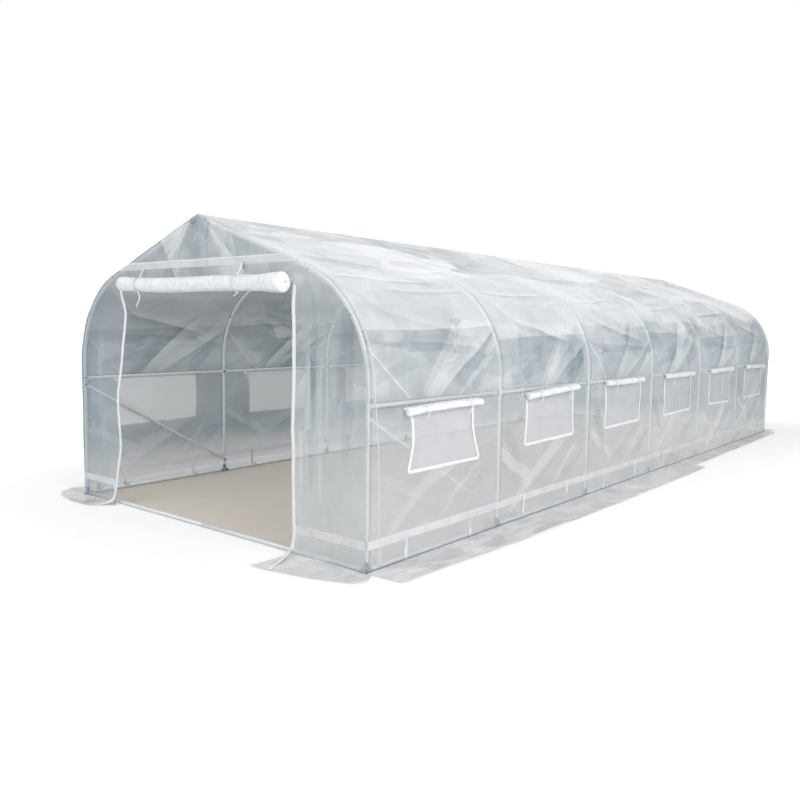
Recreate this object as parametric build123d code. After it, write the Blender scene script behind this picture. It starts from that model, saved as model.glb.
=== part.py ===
from build123d import *
from math import cos, pi, radians, sin, tan
import os

# A walk-in garden tunnel: seven bent tube hoops under a clear film cover.
# X runs across the tunnel, Y along it with the open doorway at -Y, Z up from the ground.
# All sizes are in millimetres.

# Hoops
BAYS = 6
BAY_LENGTH = 1333.3
HALF_WIDTH = 1470.0
EAVE_HEIGHT = 1020.0
BEND_RADIUS = 700.0
ROOF_PITCH = 19.7
TUBE_DIAMETER = 25.0
TUBE_SIDES = 8
ROLL_SIDES = 16

# Rails and braces
SLEEVE_DIAMETER = 28.0
RIDGE_SLEEVE_DIAMETER = 25.0
RIDGE_RAIL_DIAMETER = 22.0
SIDE_RAIL_DIAMETER = 22.0
SIDE_RAIL_HEIGHT = 920.0
BRACE_DIAMETER = 19.0
BRACE_TOP_DROP = 52.0
BRACE_FOOT_HEIGHT = 112.0
TUBE_WALL = 0.8
TAB_WIDTH = 27.0
TAB_LENGTH = 42.0
TAB_PAST_BOLT = 11.0
TAB_CORNER = 6.0
TAB_ROOT = 8.0

# Fittings
FOOT_SOCKET_HEIGHT = 60.0
FOOT_SLEEVE_LENGTH = 70.0
PEAK_ARM_LENGTH = 90.0
PEAK_STUB_LENGTH = 66.0

# Cover film
FILM = 2.0
GAP = 0.3
TAPE = 1.0

# Doorway and its rolled door
DOOR_HALF_WIDTH = 900.0
DOOR_TOP_OVER_EAVE = 580.0
DOOR_LAP = 25.0
DOOR_ROLL_DIAMETER = 105.0
DOOR_ROLL_RISE = 10.0
DOOR_BINDING_WIDTH = 28.0
BINDING = 1.5

# Windows, one in each bay on both sides
WINDOW_WIDTH = 720.0
WINDOW_SILL = 530.0
WINDOW_HEIGHT = 370.0
WINDOW_BINDING_WIDTH = 22.0
MESH = 1.0
FLAP_ROLL_DIAMETER = 50.0
FLAP_ROLL_LENGTH = 780.0

# Sewn bands and the straps that tie the cover down
BAND_BOTTOM = 130.0
BAND_WIDTH = 50.0
GABLE_BAND_OVER_DOOR = 120.0
STRAP = 1.0
STRAP_WIDTH = 25.0
STRAP_TAIL_HEIGHT = 52.0
CORNER_STRAP_INSET = 100.0
END_STRAP_X = 1060.0

# Ground flaps that lie on the soil outside the cover
SIDE_FLAP_WIDTH = 275.0
SIDE_FLAP_CORNER_CUT = 30.0
END_FLAP_DOOR_DEPTH = 335.0
END_FLAP_CORNER_DEPTH = 180.0
END_FLAP_SLANT = 120.0
END_FLAP_CORNER_REACH = 60.0
END_FLAP_CORNER_STEP = 95.0

# Worked out from the sizes above
LENGTH = BAYS * BAY_LENGTH
HOOP_Y = [i * BAY_LENGTH - LENGTH / 2 for i in range(BAYS + 1)]
BAY_Y = [(a + b) / 2 for a, b in zip(HOOP_Y, HOOP_Y[1:])]
TUBE_R = TUBE_DIAMETER / 2
SLEEVE_R = SLEEVE_DIAMETER / 2
PITCH = radians(ROOF_PITCH)
BEND_X = HALF_WIDTH - BEND_RADIUS
APEX_HEIGHT = EAVE_HEIGHT + BEND_RADIUS * cos(PITCH) + (BEND_X + BEND_RADIUS * sin(PITCH)) * tan(PITCH)
DOOR_TOP = EAVE_HEIGHT + DOOR_TOP_OVER_EAVE
GABLE_BAND_BOTTOM = DOOR_TOP + GABLE_BAND_OVER_DOOR
FILM_IN = SLEEVE_R + GAP
FILM_OUT = FILM_IN + FILM
WALL_X = HALF_WIDTH + FILM_OUT
END_Y = LENGTH / 2 + FILM_OUT
WINDOW_TOP = WINDOW_SILL + WINDOW_HEIGHT
RAIL_HEIGHT = SLEEVE_R
FLAT = 2 * TUBE_WALL
RIGHT = 1
LEFT = -1
FRONT = -1
BACK = 1

os.makedirs("parts", exist_ok=True)


def save(name, shapes):
    export_step(Compound(children=solids_of(shapes)), f"parts/{name}.step")


def solids_of(shapes):
    """Every solid of one shape or of a list of shapes."""
    group = shapes if isinstance(shapes, (list, tuple)) else [shapes]
    return [solid for shape in group for solid in shape.solids()]


def to_side(shapes, side):
    """The pieces of the right-hand side, or their mirror images on the left."""
    if side == RIGHT:
        return shapes
    return [solid.mirror(Plane.YZ) for solid in solids_of(shapes)]


def to_end(shapes, end):
    """The pieces of the front end, or their mirror images at the back."""
    if end == FRONT:
        return shapes
    return [solid.mirror(Plane.XZ) for solid in solids_of(shapes)]


def ring_section(radius, sides=TUBE_SIDES):
    """A tube's section, drawn with narrow flats; the radius is to the middle of a flat."""
    return RegularPolygon(radius, sides, major_radius=False, rotation=180 / sides)


def rod(start, end, radius, sides=TUBE_SIDES):
    """A bar from one point to another."""
    axis = Vector(*end) - Vector(*start)
    return extrude(Plane(origin=start, z_dir=axis) * ring_section(radius, sides), amount=axis.length)


def block(low, high):
    """An upright box between its lowest and highest corners."""
    size = [b - a for a, b in zip(low, high)]
    return Pos(*low) * Box(*size, align=(Align.MIN, Align.MIN, Align.MIN))


# The shape of a hoop, offset outwards from the middle of its tube


def eave_point(offset):
    return (HALF_WIDTH + offset, 0, EAVE_HEIGHT)


def bend_point(offset, angle):
    """A point on the bend, at an angle up from the horizontal."""
    radius = BEND_RADIUS + offset
    return (BEND_X + radius * cos(angle), 0, EAVE_HEIGHT + radius * sin(angle))


def bend_arc(offset):
    top = pi / 2 - PITCH
    return ThreePointArc(eave_point(offset), bend_point(offset, top / 2), bend_point(offset, top))


def bend_top(offset):
    return bend_point(offset, pi / 2 - PITCH)


def apex_point(offset):
    return (0, 0, APEX_HEIGHT + offset / cos(PITCH))


def rafter_point(distance):
    """A point on the right-hand rafter's centreline, at a distance down from the apex."""
    return (distance * cos(PITCH), 0, APEX_HEIGHT - distance * sin(PITCH))


def at_y(point, y):
    return (point[0], y, point[2])


def end_outline(offset, low, high):
    """The face inside the hoop's outline between two heights, at y = 0."""
    floor_right = (HALF_WIDTH + offset, 0, 0)
    floor_left = (-HALF_WIDTH - offset, 0, 0)
    leg = Line(floor_right, eave_point(offset))
    rafter = Line(bend_top(offset), apex_point(offset))
    right = [leg, bend_arc(offset), rafter]
    left = [edge.mirror(Plane.YZ) for edge in right]
    outline = make_face([*right, *left, Line(floor_left, floor_right)])
    slab = block((-2 * HALF_WIDTH, -FILM, low), (2 * HALF_WIDTH, FILM, high))
    return (outline & slab).faces()[0]


# Tube frame


def hoop_half(y):
    """The right-hand tube of a hoop: leg, bend and rafter, from its foot socket to the peak fitting."""
    foot = (HALF_WIDTH, 0, FOOT_SOCKET_HEIGHT)
    path = Wire([Line(foot, eave_point(0)), bend_arc(0), Line(bend_top(0), rafter_point(PEAK_ARM_LENGTH))])
    tube = sweep(Plane(origin=foot, z_dir=(0, 0, 1)) * ring_section(TUBE_R), path=path)
    return Pos(0, y, 0) * tube


def hoop(y):
    half = hoop_half(y)
    return [half, *to_side(half, LEFT)]


def inner_stub(y, reach):
    """The ends of a sleeve along Y at a hoop; on an end hoop it stays inside the cover."""
    low = -SLEEVE_R if y == HOOP_Y[0] else -reach
    high = SLEEVE_R if y == HOOP_Y[-1] else reach
    return y + low, y + high


def peak_fitting(y):
    """Two sloping sleeves for the rafters, and one along the ridge for the ridge rails."""
    low, high = inner_stub(y, PEAK_STUB_LENGTH / 2)
    apex = apex_point(0)
    ridge = rod(at_y(apex, low), at_y(apex, high), RIDGE_SLEEVE_DIAMETER / 2)
    arm = rod(at_y(apex, y), at_y(rafter_point(PEAK_ARM_LENGTH), y), SLEEVE_R)
    return ridge + arm + arm.mirror(Plane.YZ)


def foot_fitting(y):
    """The socket at the foot of a right-hand leg, with a sleeve for the ground rails."""
    low, high = inner_stub(y, FOOT_SLEEVE_LENGTH / 2)
    sleeve = rod((HALF_WIDTH, low, RAIL_HEIGHT), (HALF_WIDTH, high, RAIL_HEIGHT), SLEEVE_R)
    socket = rod((HALF_WIDTH, y, RAIL_HEIGHT), (HALF_WIDTH, y, FOOT_SOCKET_HEIGHT), SLEEVE_R)
    fitting = sleeve + socket
    if y in (HOOP_Y[0], HOOP_Y[-1]):
        outer = (HALF_WIDTH + SLEEVE_R, y, RAIL_HEIGHT)
        inner = (HALF_WIDTH - FOOT_SLEEVE_LENGTH / 2, y, RAIL_HEIGHT)
        fitting += rod(outer, inner, SLEEVE_R)
    return fitting


def bay_rods(x, z, radius, stub_length):
    """Straight tubes between neighbouring hoops, each ending at the fittings' sleeves."""
    half = stub_length / 2
    return [rod((x, a + half, z), (x, b - half, z), radius) for a, b in zip(HOOP_Y, HOOP_Y[1:])]


def end_ground_rail(end):
    y = end * LENGTH / 2
    reach = HALF_WIDTH - FOOT_SLEEVE_LENGTH / 2
    return rod((-reach, y, RAIL_HEIGHT), (reach, y, RAIL_HEIGHT), TUBE_R)


def flat_ended_tube(start, end, diameter, end_lap):
    """A tube pressed flat at both ends and bolted to the inside of two right-hand legs.

    The start and end are the bolts' places as (y, z). The second flat end lies against the leg, or,
    where end_lap is 1, over the flat end of the next tube."""
    (y0, z0), (y1, z1) = start, end
    x = HALF_WIDTH - TUBE_R - FLAT
    run = Vector(0, y1 - y0, z1 - z0)
    place = Plane(origin=(x, (y0 + y1) / 2, (z0 + z1) / 2), x_dir=run, z_dir=(1, 0, 0))
    half = run.length / 2 - TAB_LENGTH
    body = rod((-half, 0, 0), (half, 0, 0), diameter / 2)
    tab_size = TAB_LENGTH + TAB_PAST_BOLT + TAB_ROOT
    tab_x = run.length / 2 + TAB_PAST_BOLT - tab_size / 2
    tab = Box(tab_size, TAB_WIDTH, FLAT)
    tab = chamfer(tab.edges().filter_by(Axis.Z).group_by(Axis.X)[-1], TAB_CORNER)
    first = Pos(-tab_x, 0, FLAT / 2) * Rot(0, 0, 180) * tab
    second = Pos(tab_x, 0, FLAT / 2 - end_lap * FLAT) * tab
    return place * (body + first + second)


def side_rail():
    """The right-hand rail at window height: one tube in each bay, bolted to the legs."""
    bolts = [(y, SIDE_RAIL_HEIGHT) for y in HOOP_Y]
    laps = [1] * (BAYS - 1) + [0]
    return [flat_ended_tube(*ends, SIDE_RAIL_DIAMETER, lap) for *ends, lap in zip(bolts, bolts[1:], laps)]


def end_bay_brace(end):
    """The right-hand diagonal tube of an end bay, from the end hoop down to the next hoop's foot."""
    top = (end * HOOP_Y[-1], SIDE_RAIL_HEIGHT - BRACE_TOP_DROP)
    foot = (end * HOOP_Y[-2], BRACE_FOOT_HEIGHT)
    return flat_ended_tube(top, foot, BRACE_DIAMETER, 0)


# Cover


def roof_film():
    """The flat right-hand slope of the roof, from the ridge to the bend."""
    corners = [apex_point(FILM_IN), apex_point(FILM_OUT), bend_top(FILM_OUT), bend_top(FILM_IN)]
    return along_cover(make_face(Polyline(*corners, close=True)))


def shoulder_film():
    """The right-hand bend of the cover, from the roof slope to the upright side."""
    edges = [
        bend_arc(FILM_IN),
        Line(bend_top(FILM_IN), bend_top(FILM_OUT)),
        bend_arc(FILM_OUT),
        Line(eave_point(FILM_OUT), eave_point(FILM_IN)),
    ]
    return along_cover(make_face(edges))


def along_cover(face):
    """A section of the cover at y = 0, carried over the whole length."""
    return extrude(Pos(0, -END_Y, 0) * face, amount=2 * END_Y, dir=(0, 1, 0))


def side_film():
    """The upright right-hand side with its window openings cut through."""
    wall = block((HALF_WIDTH + FILM_IN, -END_Y, FILM), (WALL_X, END_Y, EAVE_HEIGHT))
    for y in BAY_Y:
        wall -= window_block(y, HALF_WIDTH, WALL_X + FILM, WINDOW_SILL, WINDOW_TOP, 0)
    return wall


def window_block(y, x0, x1, low, high, margin):
    """A block as wide as a window, with a margin past both of its sides."""
    half = WINDOW_WIDTH / 2 + margin
    return block((x0, y - half, low), (x1, y + half, high))


def window_mesh(y):
    """The insect mesh set into a window opening."""
    middle = WALL_X - FILM / 2
    return window_block(y, middle - MESH / 2, middle + MESH / 2, WINDOW_SILL, WINDOW_TOP, 0)


def window_binding(y):
    """The woven edging down both sides and along the foot of a window."""
    width = WINDOW_BINDING_WIDTH
    top = WINDOW_TOP - FLAP_ROLL_DIAMETER / 4
    outer = window_block(y, WALL_X, WALL_X + BINDING, WINDOW_SILL - width / 2, top, width / 2)
    cut_x = WALL_X + 2 * BINDING
    inner = window_block(y, WALL_X - GAP, cut_x, WINDOW_SILL + width / 2, top + GAP, -width / 2)
    return outer - inner


def window_flap(y):
    """A window's film flap, rolled up outside over the top of its opening."""
    x = WALL_X + GAP + FLAP_ROLL_DIAMETER / 2
    half = FLAP_ROLL_LENGTH / 2
    return rod((x, y - half, WINDOW_TOP), (x, y + half, WINDOW_TOP), FLAP_ROLL_DIAMETER / 2, ROLL_SIDES)


def end_panel(low, high):
    """A slab of the front end film inside the cover, between two heights."""
    face = end_outline(FILM_IN - GAP, low, high)
    return extrude(Pos(0, -END_Y, 0) * face, amount=FILM, dir=(0, 1, 0))


def front_gable():
    return end_panel(DOOR_TOP, APEX_HEIGHT + 2 * FILM_OUT)


def front_side_panel():
    """The right-hand panel of the front end, between the doorway and the corner."""
    beside = block((DOOR_HALF_WIDTH, -2 * LENGTH, 0), (2 * HALF_WIDTH, 0, DOOR_TOP))
    return end_panel(FILM, DOOR_TOP) & beside


def door_roll():
    """The front door's film, rolled up on the outside over the doorway."""
    reach = DOOR_HALF_WIDTH + DOOR_LAP
    y = -END_Y - GAP - DOOR_ROLL_DIAMETER / 2
    z = DOOR_TOP + DOOR_ROLL_RISE
    return rod((-reach, y, z), (reach, y, z), DOOR_ROLL_DIAMETER / 2, 2 * ROLL_SIDES)


def back_door():
    """The back door let down, outside its doorway."""
    reach = DOOR_HALF_WIDTH + DOOR_LAP
    return block((-reach, END_Y, FILM), (reach, END_Y + FILM, DOOR_TOP + DOOR_LAP))


def upright_binding(x, y):
    """A right-hand length of woven edging, up to the doorway's top, from its nearest lower corner."""
    top = DOOR_TOP - DOOR_ROLL_RISE
    return block((x, y, FILM), (x + DOOR_BINDING_WIDTH, y + BINDING, top))


def doorway_bindings():
    """The edging beside the open front doorway, and down the sides of the back door."""
    front = upright_binding(DOOR_HALF_WIDTH, -END_Y - BINDING)
    back = upright_binding(DOOR_HALF_WIDTH + DOOR_LAP - DOOR_BINDING_WIDTH, END_Y + FILM)
    return [front, back, *to_side([front, back], LEFT)]


# Bands, straps and ground flaps


def ground_bands():
    """The sewn band round the foot of the cover, with a separate length on each panel."""
    low, high = BAND_BOTTOM, BAND_BOTTOM + BAND_WIDTH
    door_edge = DOOR_HALF_WIDTH + DOOR_BINDING_WIDTH
    lap_edge = DOOR_HALF_WIDTH + DOOR_LAP
    side = block((WALL_X, -END_Y, low), (WALL_X + TAPE, END_Y, high))
    front = block((door_edge, -END_Y - TAPE, low), (WALL_X, -END_Y, high))
    back = block((lap_edge, END_Y, low), (WALL_X, END_Y + TAPE, high))
    inner_edge = lap_edge - DOOR_BINDING_WIDTH
    door = block((-inner_edge, END_Y + FILM, low), (inner_edge, END_Y + FILM + TAPE, high))
    right = [side, front, back]
    return right + to_side(right, LEFT) + [door]


def gable_band():
    """The sewn band across the front gable, above the doorway."""
    face = end_outline(FILM_IN - GAP, GABLE_BAND_BOTTOM, GABLE_BAND_BOTTOM + BAND_WIDTH)
    return extrude(Pos(0, -END_Y - TAPE, 0) * face, amount=TAPE, dir=(0, 1, 0))


def strap_section():
    """A strap's section across a ground rail: down from the band, round the rail and up inside."""
    inner = TUBE_R + GAP
    outer = inner + STRAP
    ring = ring_section(outer) - ring_section(inner)
    ring &= Rectangle(2 * outer, outer, align=(Align.CENTER, Align.MAX))
    long_leg = Pos(inner, 0) * Rectangle(STRAP, BAND_BOTTOM + BAND_WIDTH / 2 - RAIL_HEIGHT, align=Align.MIN)
    tail = Pos(-outer, 0) * Rectangle(STRAP, STRAP_TAIL_HEIGHT - RAIL_HEIGHT, align=Align.MIN)
    return (ring + long_leg + tail).face()


def side_strap(y):
    """A strap round the right-hand ground rail."""
    origin = (HALF_WIDTH, y + STRAP_WIDTH / 2, RAIL_HEIGHT)
    place = Plane(origin=origin, x_dir=(1, 0, 0), z_dir=(0, -1, 0))
    return extrude(place * strap_section(), amount=STRAP_WIDTH)


def end_strap(x):
    """A strap round the front ground rail."""
    origin = (x - STRAP_WIDTH / 2, -LENGTH / 2, RAIL_HEIGHT)
    place = Plane(origin=origin, x_dir=(0, -1, 0), z_dir=(-1, 0, 0))
    return extrude(place * strap_section(), amount=-STRAP_WIDTH)


def tie_straps():
    quarters = [y + step * BAY_LENGTH / 4 for y in BAY_Y for step in (-1, 1)]
    corners = [HOOP_Y[0] + CORNER_STRAP_INSET, HOOP_Y[-1] - CORNER_STRAP_INSET]
    side = [side_strap(y) for y in quarters + corners]
    front = [end_strap(x) for x in (-END_STRAP_X, END_STRAP_X)]
    return side + to_side(side, LEFT) + front + to_end(front, BACK)


def flat_on_ground(points):
    return extrude(make_face(Polyline(*points, close=True)), amount=FILM, dir=(0, 0, 1))


def side_flap():
    """The right-hand ground flap, from the foot of the cover outwards."""
    inner = HALF_WIDTH + FILM_IN
    outer = inner + SIDE_FLAP_WIDTH
    end = LENGTH / 2 + SLEEVE_R
    cut = SIDE_FLAP_CORNER_CUT
    points = [(inner, -end), (outer - cut, -end), (outer, cut - end), (outer, end - cut), (outer - cut, end)]
    return flat_on_ground([*points, (inner, end)])


def end_flaps():
    """The two ground flaps of the front end, cut slanting towards the doorway."""
    line = -END_Y + FILM
    tip = DOOR_HALF_WIDTH + END_FLAP_SLANT
    corner = WALL_X + END_FLAP_CORNER_REACH
    right = flat_on_ground(
        [
            (DOOR_HALF_WIDTH, line),
            (tip, line - END_FLAP_DOOR_DEPTH),
            (corner, line - END_FLAP_CORNER_DEPTH),
            (corner + END_FLAP_SLANT / 4, line - END_FLAP_CORNER_STEP),
            (WALL_X, line),
        ]
    )
    return [right, *to_side(right, LEFT)]


SIDES = {"right": RIGHT, "left": LEFT}
HOOP_NAMES = ["front_hoop", *[f"hoop_{i}" for i in range(2, BAYS + 1)], "back_hoop"]

for name, y in zip(HOOP_NAMES, HOOP_Y):
    save(name, hoop(y))

feet = [foot_fitting(y) for y in HOOP_Y]
save("foot_fittings", feet + to_side(feet, LEFT))
save("peak_fittings", [peak_fitting(y) for y in HOOP_Y])
save("ridge_rail", bay_rods(0, APEX_HEIGHT, RIDGE_RAIL_DIAMETER / 2, PEAK_STUB_LENGTH))
save("front_ground_rail", end_ground_rail(FRONT))
save("back_ground_rail", end_ground_rail(BACK))
right_braces = [end_bay_brace(FRONT), end_bay_brace(BACK)]
save("end_bay_braces", right_braces + to_side(right_braces, LEFT))

for name, side in SIDES.items():
    save(f"ground_rail_{name}", bay_rods(side * HALF_WIDTH, RAIL_HEIGHT, TUBE_R, FOOT_SLEEVE_LENGTH))
    save(f"side_rail_{name}", to_side(side_rail(), side))
    save(f"roof_film_{name}", to_side(roof_film(), side))
    save(f"shoulder_film_{name}", to_side(shoulder_film(), side))
    save(f"side_film_{name}", to_side(side_film(), side))
    save(f"window_mesh_{name}", to_side([window_mesh(y) for y in BAY_Y], side))
    save(f"window_binding_{name}", to_side([window_binding(y) for y in BAY_Y], side))
    save(f"window_flap_rolls_{name}", to_side([window_flap(y) for y in BAY_Y], side))
    save(f"front_film_{name}", to_side(front_side_panel(), side))
    save(f"back_film_{name}", to_side(to_end(front_side_panel(), BACK), side))
    save(f"ground_flap_{name}", to_side(side_flap(), side))

save("front_gable_film", front_gable())
save("back_gable_film", to_end(front_gable(), BACK))
save("door_roll", door_roll())
save("back_door_film", back_door())
save("doorway_bindings", doorway_bindings())
save("ground_bands", ground_bands())
save("gable_bands", [gable_band(), *to_end(gable_band(), BACK)])
save("tie_straps", tie_straps())
save("ground_flaps_front", end_flaps())
save("ground_flaps_back", to_end(end_flaps(), BACK))
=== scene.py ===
"""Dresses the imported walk-in tunnel: clear film, tube frame, rolled door and flaps.

Metres, X across the tunnel, Y along it with the open doorway at -Y, Z up from the ground."""

import random
from math import atan2, cos, degrees, hypot, pi, radians, sin, sqrt, tan

import bpy
import numpy as np
from mathutils import Matrix, Vector


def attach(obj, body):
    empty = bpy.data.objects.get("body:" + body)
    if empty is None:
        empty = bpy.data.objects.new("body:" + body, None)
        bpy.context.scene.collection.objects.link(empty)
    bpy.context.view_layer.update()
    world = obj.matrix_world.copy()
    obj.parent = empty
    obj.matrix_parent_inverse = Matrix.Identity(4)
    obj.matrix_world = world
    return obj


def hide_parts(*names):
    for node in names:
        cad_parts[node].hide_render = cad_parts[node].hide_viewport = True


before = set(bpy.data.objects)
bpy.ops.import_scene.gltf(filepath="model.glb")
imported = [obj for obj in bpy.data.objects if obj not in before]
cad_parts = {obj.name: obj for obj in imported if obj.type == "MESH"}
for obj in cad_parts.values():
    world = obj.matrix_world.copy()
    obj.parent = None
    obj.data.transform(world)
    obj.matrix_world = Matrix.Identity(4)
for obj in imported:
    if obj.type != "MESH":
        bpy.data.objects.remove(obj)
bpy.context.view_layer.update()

# Sizes of the frame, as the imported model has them

BAYS = 6
BAY = 1.3333
HALF_WIDTH = 1.470
EAVE = 1.020
BEND_RADIUS = 0.700
PITCH = radians(19.7)
TUBE_R = 0.0125
SLEEVE_R = 0.014
RIDGE_SLEEVE_R = 0.0125
RAIL_R = 0.011
BRACE_R = 0.0095
RAIL_Z = 0.014
SIDE_RAIL_Z = 0.920
FOOT_SOCKET_Z = 0.060
FOOT_SLEEVE = 0.070
PEAK_ARM = 0.090
PEAK_STUB = 0.066

FILM_LIFT = 0.0153
DOOR_HALF = 0.900
DOOR_TOP = 1.600
DOOR_ROLL_R = 0.0515
DOOR_ROLL_Z = 1.610
DOOR_REACH = 0.925
WINDOW_W = 0.720
WINDOW_Z0 = 0.530
WINDOW_Z1 = 0.900
FLAP_ROLL_R = 0.0245
BAND_Z0 = 0.130
BAND_Z1 = 0.180
GABLE_BAND_Z0 = 1.720
GABLE_BAND_Z1 = 1.770

HALF_LENGTH = BAYS * BAY / 2
HOOP_Y = [i * BAY - HALF_LENGTH for i in range(BAYS + 1)]
BAY_Y = [(a + b) / 2 for a, b in zip(HOOP_Y, HOOP_Y[1:])]
BEND_X = HALF_WIDTH - BEND_RADIUS
APEX_Z = EAVE + BEND_RADIUS * cos(PITCH) + (BEND_X + BEND_RADIUS * sin(PITCH)) * tan(PITCH)
END_Y = HALF_LENGTH + FILM_LIFT
WALL_X = HALF_WIDTH + FILM_LIFT
FILM_BEND = BEND_RADIUS + FILM_LIFT
SLOPE = (BEND_X + FILM_BEND * sin(PITCH)) / cos(PITCH)
BEND_LENGTH = FILM_BEND * (pi / 2 - PITCH)
FOOT = SLOPE + BEND_LENGTH + EAVE
GROUND = 0.002
RIGHT = 1
LEFT = -1


# Random hills and creases

MASK = 0xFFFFFFFF


def scatter(i, j, seed):
    """A fixed random height between -1 and 1 at every whole-numbered place."""
    n = (i * 374761393 + j * 668265263 + seed * 1442695041) & MASK
    n = ((n ^ (n >> 13)) * 1274126177) & MASK
    return ((n ^ (n >> 16)) & 0xFFFF) / 32767.5 - 1


def corners_of(u, v, seed):
    i, j = np.floor(u).astype(np.int64), np.floor(v).astype(np.int64)
    heights = [scatter(i + a, j + b, seed) for a, b in ((0, 0), (1, 0), (0, 1), (1, 1))]
    return u - i, v - j, heights


def hills(u, v, seed):
    """Smooth random hills between -1 and 1, about one to a unit."""
    fu, fv, (a, b, c, d) = corners_of(np.asarray(u, float), np.asarray(v, float), seed)
    su, sv = fu * fu * (3 - 2 * fu), fv * fv * (3 - 2 * fv)
    return (a + (b - a) * su) * (1 - sv) + (c + (d - c) * su) * sv


def facets(u, v, seed):
    """Flat facets that meet in sharp creases, as crumpled film has, between -1 and 1."""
    u, v = np.asarray(u, float), np.asarray(v, float)
    u, v = u + 0.35 * hills(u * 0.9, v * 0.9, seed + 7), v + 0.35 * hills(u * 0.9, v * 0.9, seed + 8)
    fu, fv, (a, b, c, d) = corners_of(u, v, seed)
    near = a + (b - a) * fu + (c - a) * fv
    far = d + (c - d) * (1 - fu) + (b - d) * (1 - fv)
    return np.where(fu + fv > 1, far, near)


def smooth(low, high, x):
    """0 below low, 1 above high, and an even rise between them."""
    t = np.clip((np.asarray(x, float) - low) / (high - low), 0, 1)
    return t * t * (3 - 2 * t)


def crease(s, y, start, end, height, width):
    """A soft ridge along a line from one place on the cover to another, as (distance from ridge, y)."""
    (s0, y0), (s1, y1) = start, end
    ds, dy = s1 - s0, y1 - y0
    along = np.clip(((s - s0) * ds + (y - y0) * dy) / (ds * ds + dy * dy), 0, 1)
    away = np.hypot(s - s0 - along * ds, y - y0 - along * dy)
    fade = np.sin(pi * (0.08 + 0.84 * along))
    return height * fade * np.exp(-away / width)


# The cover's surface: a place on it is (side, distance down from the ridge, y)


def to_s(z):
    """The distance down from the ridge of a height on the upright wall."""
    return FOOT - z


def window_corner_shifts():
    """How far each window's corners sit off their square places, as (y, z) shifts."""
    rng = random.Random(41)
    shifts = {}
    for side in (RIGHT, LEFT):
        for bay in range(BAYS):
            shifts[side, bay] = [(rng.uniform(-0.011, 0.011), rng.uniform(-0.012, 0.012)) for _ in range(4)]
    shifts[RIGHT, 0] = [(0.036, -0.014), (0.052, -0.018), (0.052, -0.022), (-0.030, -0.018)]
    shifts[RIGHT, 1] = [(0.020, 0.000), (0.034, 0.010), (0.028, -0.020), (0.028, 0.008)]
    return shifts


WINDOW_SHIFTS = window_corner_shifts()
# How far the middles of a window's front and back edges are drawn back
WINDOW_BOWS = {(RIGHT, 0): (0.034, -0.034), (RIGHT, 1): (0.012, -0.010), (RIGHT, 2): (0.016, 0.006)}


def pulled(side, y, z):
    """Places on the wall as the film's own pull moves them, so that no window is quite square."""
    dy, dz = np.zeros_like(y), np.zeros_like(z)
    for bay, middle in enumerate(BAY_Y):
        a = (y - middle) / WINDOW_W + 0.5
        b = (z - WINDOW_Z0) / (WINDOW_Z1 - WINDOW_Z0)
        off = np.hypot((a - np.clip(a, 0, 1)) * WINDOW_W, (b - np.clip(b, 0, 1)) * (WINDOW_Z1 - WINDOW_Z0))
        fade = np.exp(-((off / 0.13) ** 2))
        a, b = np.clip(a, 0, 1), np.clip(b, 0, 1)
        weights = [(1 - a) * (1 - b), a * (1 - b), (1 - a) * b, a * b]
        dy += fade * sum(w * shift[0] for w, shift in zip(weights, WINDOW_SHIFTS[side, bay]))
        dz += fade * sum(w * shift[1] for w, shift in zip(weights, WINDOW_SHIFTS[side, bay]))
        front_bow, back_bow = WINDOW_BOWS.get((side, bay), (0.007 * sin(bay * 2.6 + side), -0.006 * sin(bay * 1.7 + side)))
        dy += fade * (front_bow * (1 - a) + back_bow * a) * np.sin(pi * b)
    return y + dy, z + dz


def pull_lines():
    """Creases that fan out from the windows' corners, the hoops and the ridge, for each side."""
    rng = random.Random(7)
    lines = {RIGHT: [], LEFT: []}
    for side in (RIGHT, LEFT):
        for bay, middle in enumerate(BAY_Y):
            top, foot = to_s(WINDOW_Z1), to_s(WINDOW_Z0)
            for end in (-1, 1):
                corner_y = middle + end * WINDOW_W / 2
                hoop_y = middle + end * BAY / 2
                for _ in range(3):
                    up = (top - rng.uniform(0.25, 0.75), corner_y + end * rng.uniform(0.02, 0.30))
                    lines[side].append(((top, corner_y), up, rng.uniform(0.006, 0.014), rng.uniform(0.018, 0.035)))
                down = (foot + rng.uniform(0.18, 0.36), corner_y + end * rng.uniform(0.05, 0.28))
                lines[side].append(((foot, corner_y), down, rng.uniform(0.005, 0.010), 0.025))
                for _ in range(4):
                    start = (rng.uniform(0.75, 1.75), hoop_y - end * 0.03)
                    finish = (start[0] + rng.uniform(-0.22, 0.40), hoop_y - end * rng.uniform(0.30, 0.65))
                    lines[side].append((start, finish, rng.uniform(-0.012, 0.012), rng.uniform(0.02, 0.05)))
            for _ in range(5):
                start = (rng.uniform(0.15, 1.2), middle + rng.uniform(-0.6, 0.1))
                finish = (start[0] + rng.uniform(-0.10, 0.16), start[1] + rng.uniform(0.25, 0.6))
                lines[side].append((start, finish, rng.uniform(-0.008, 0.008), rng.uniform(0.012, 0.03)))
    first = HOOP_Y[0]
    lines[RIGHT] += [
        ((1.30, first + 0.05), (to_s(WINDOW_Z1), BAY_Y[0] - WINDOW_W / 2), 0.022, 0.030),
        ((0.95, first + 0.10), (1.40, first + 0.70), 0.009, 0.040),
        ((1.35, first + 1.50), (to_s(WINDOW_Z1), BAY_Y[1] - 0.10), 0.016, 0.030),
    ]
    return lines


PULL_LINES = pull_lines()


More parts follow.
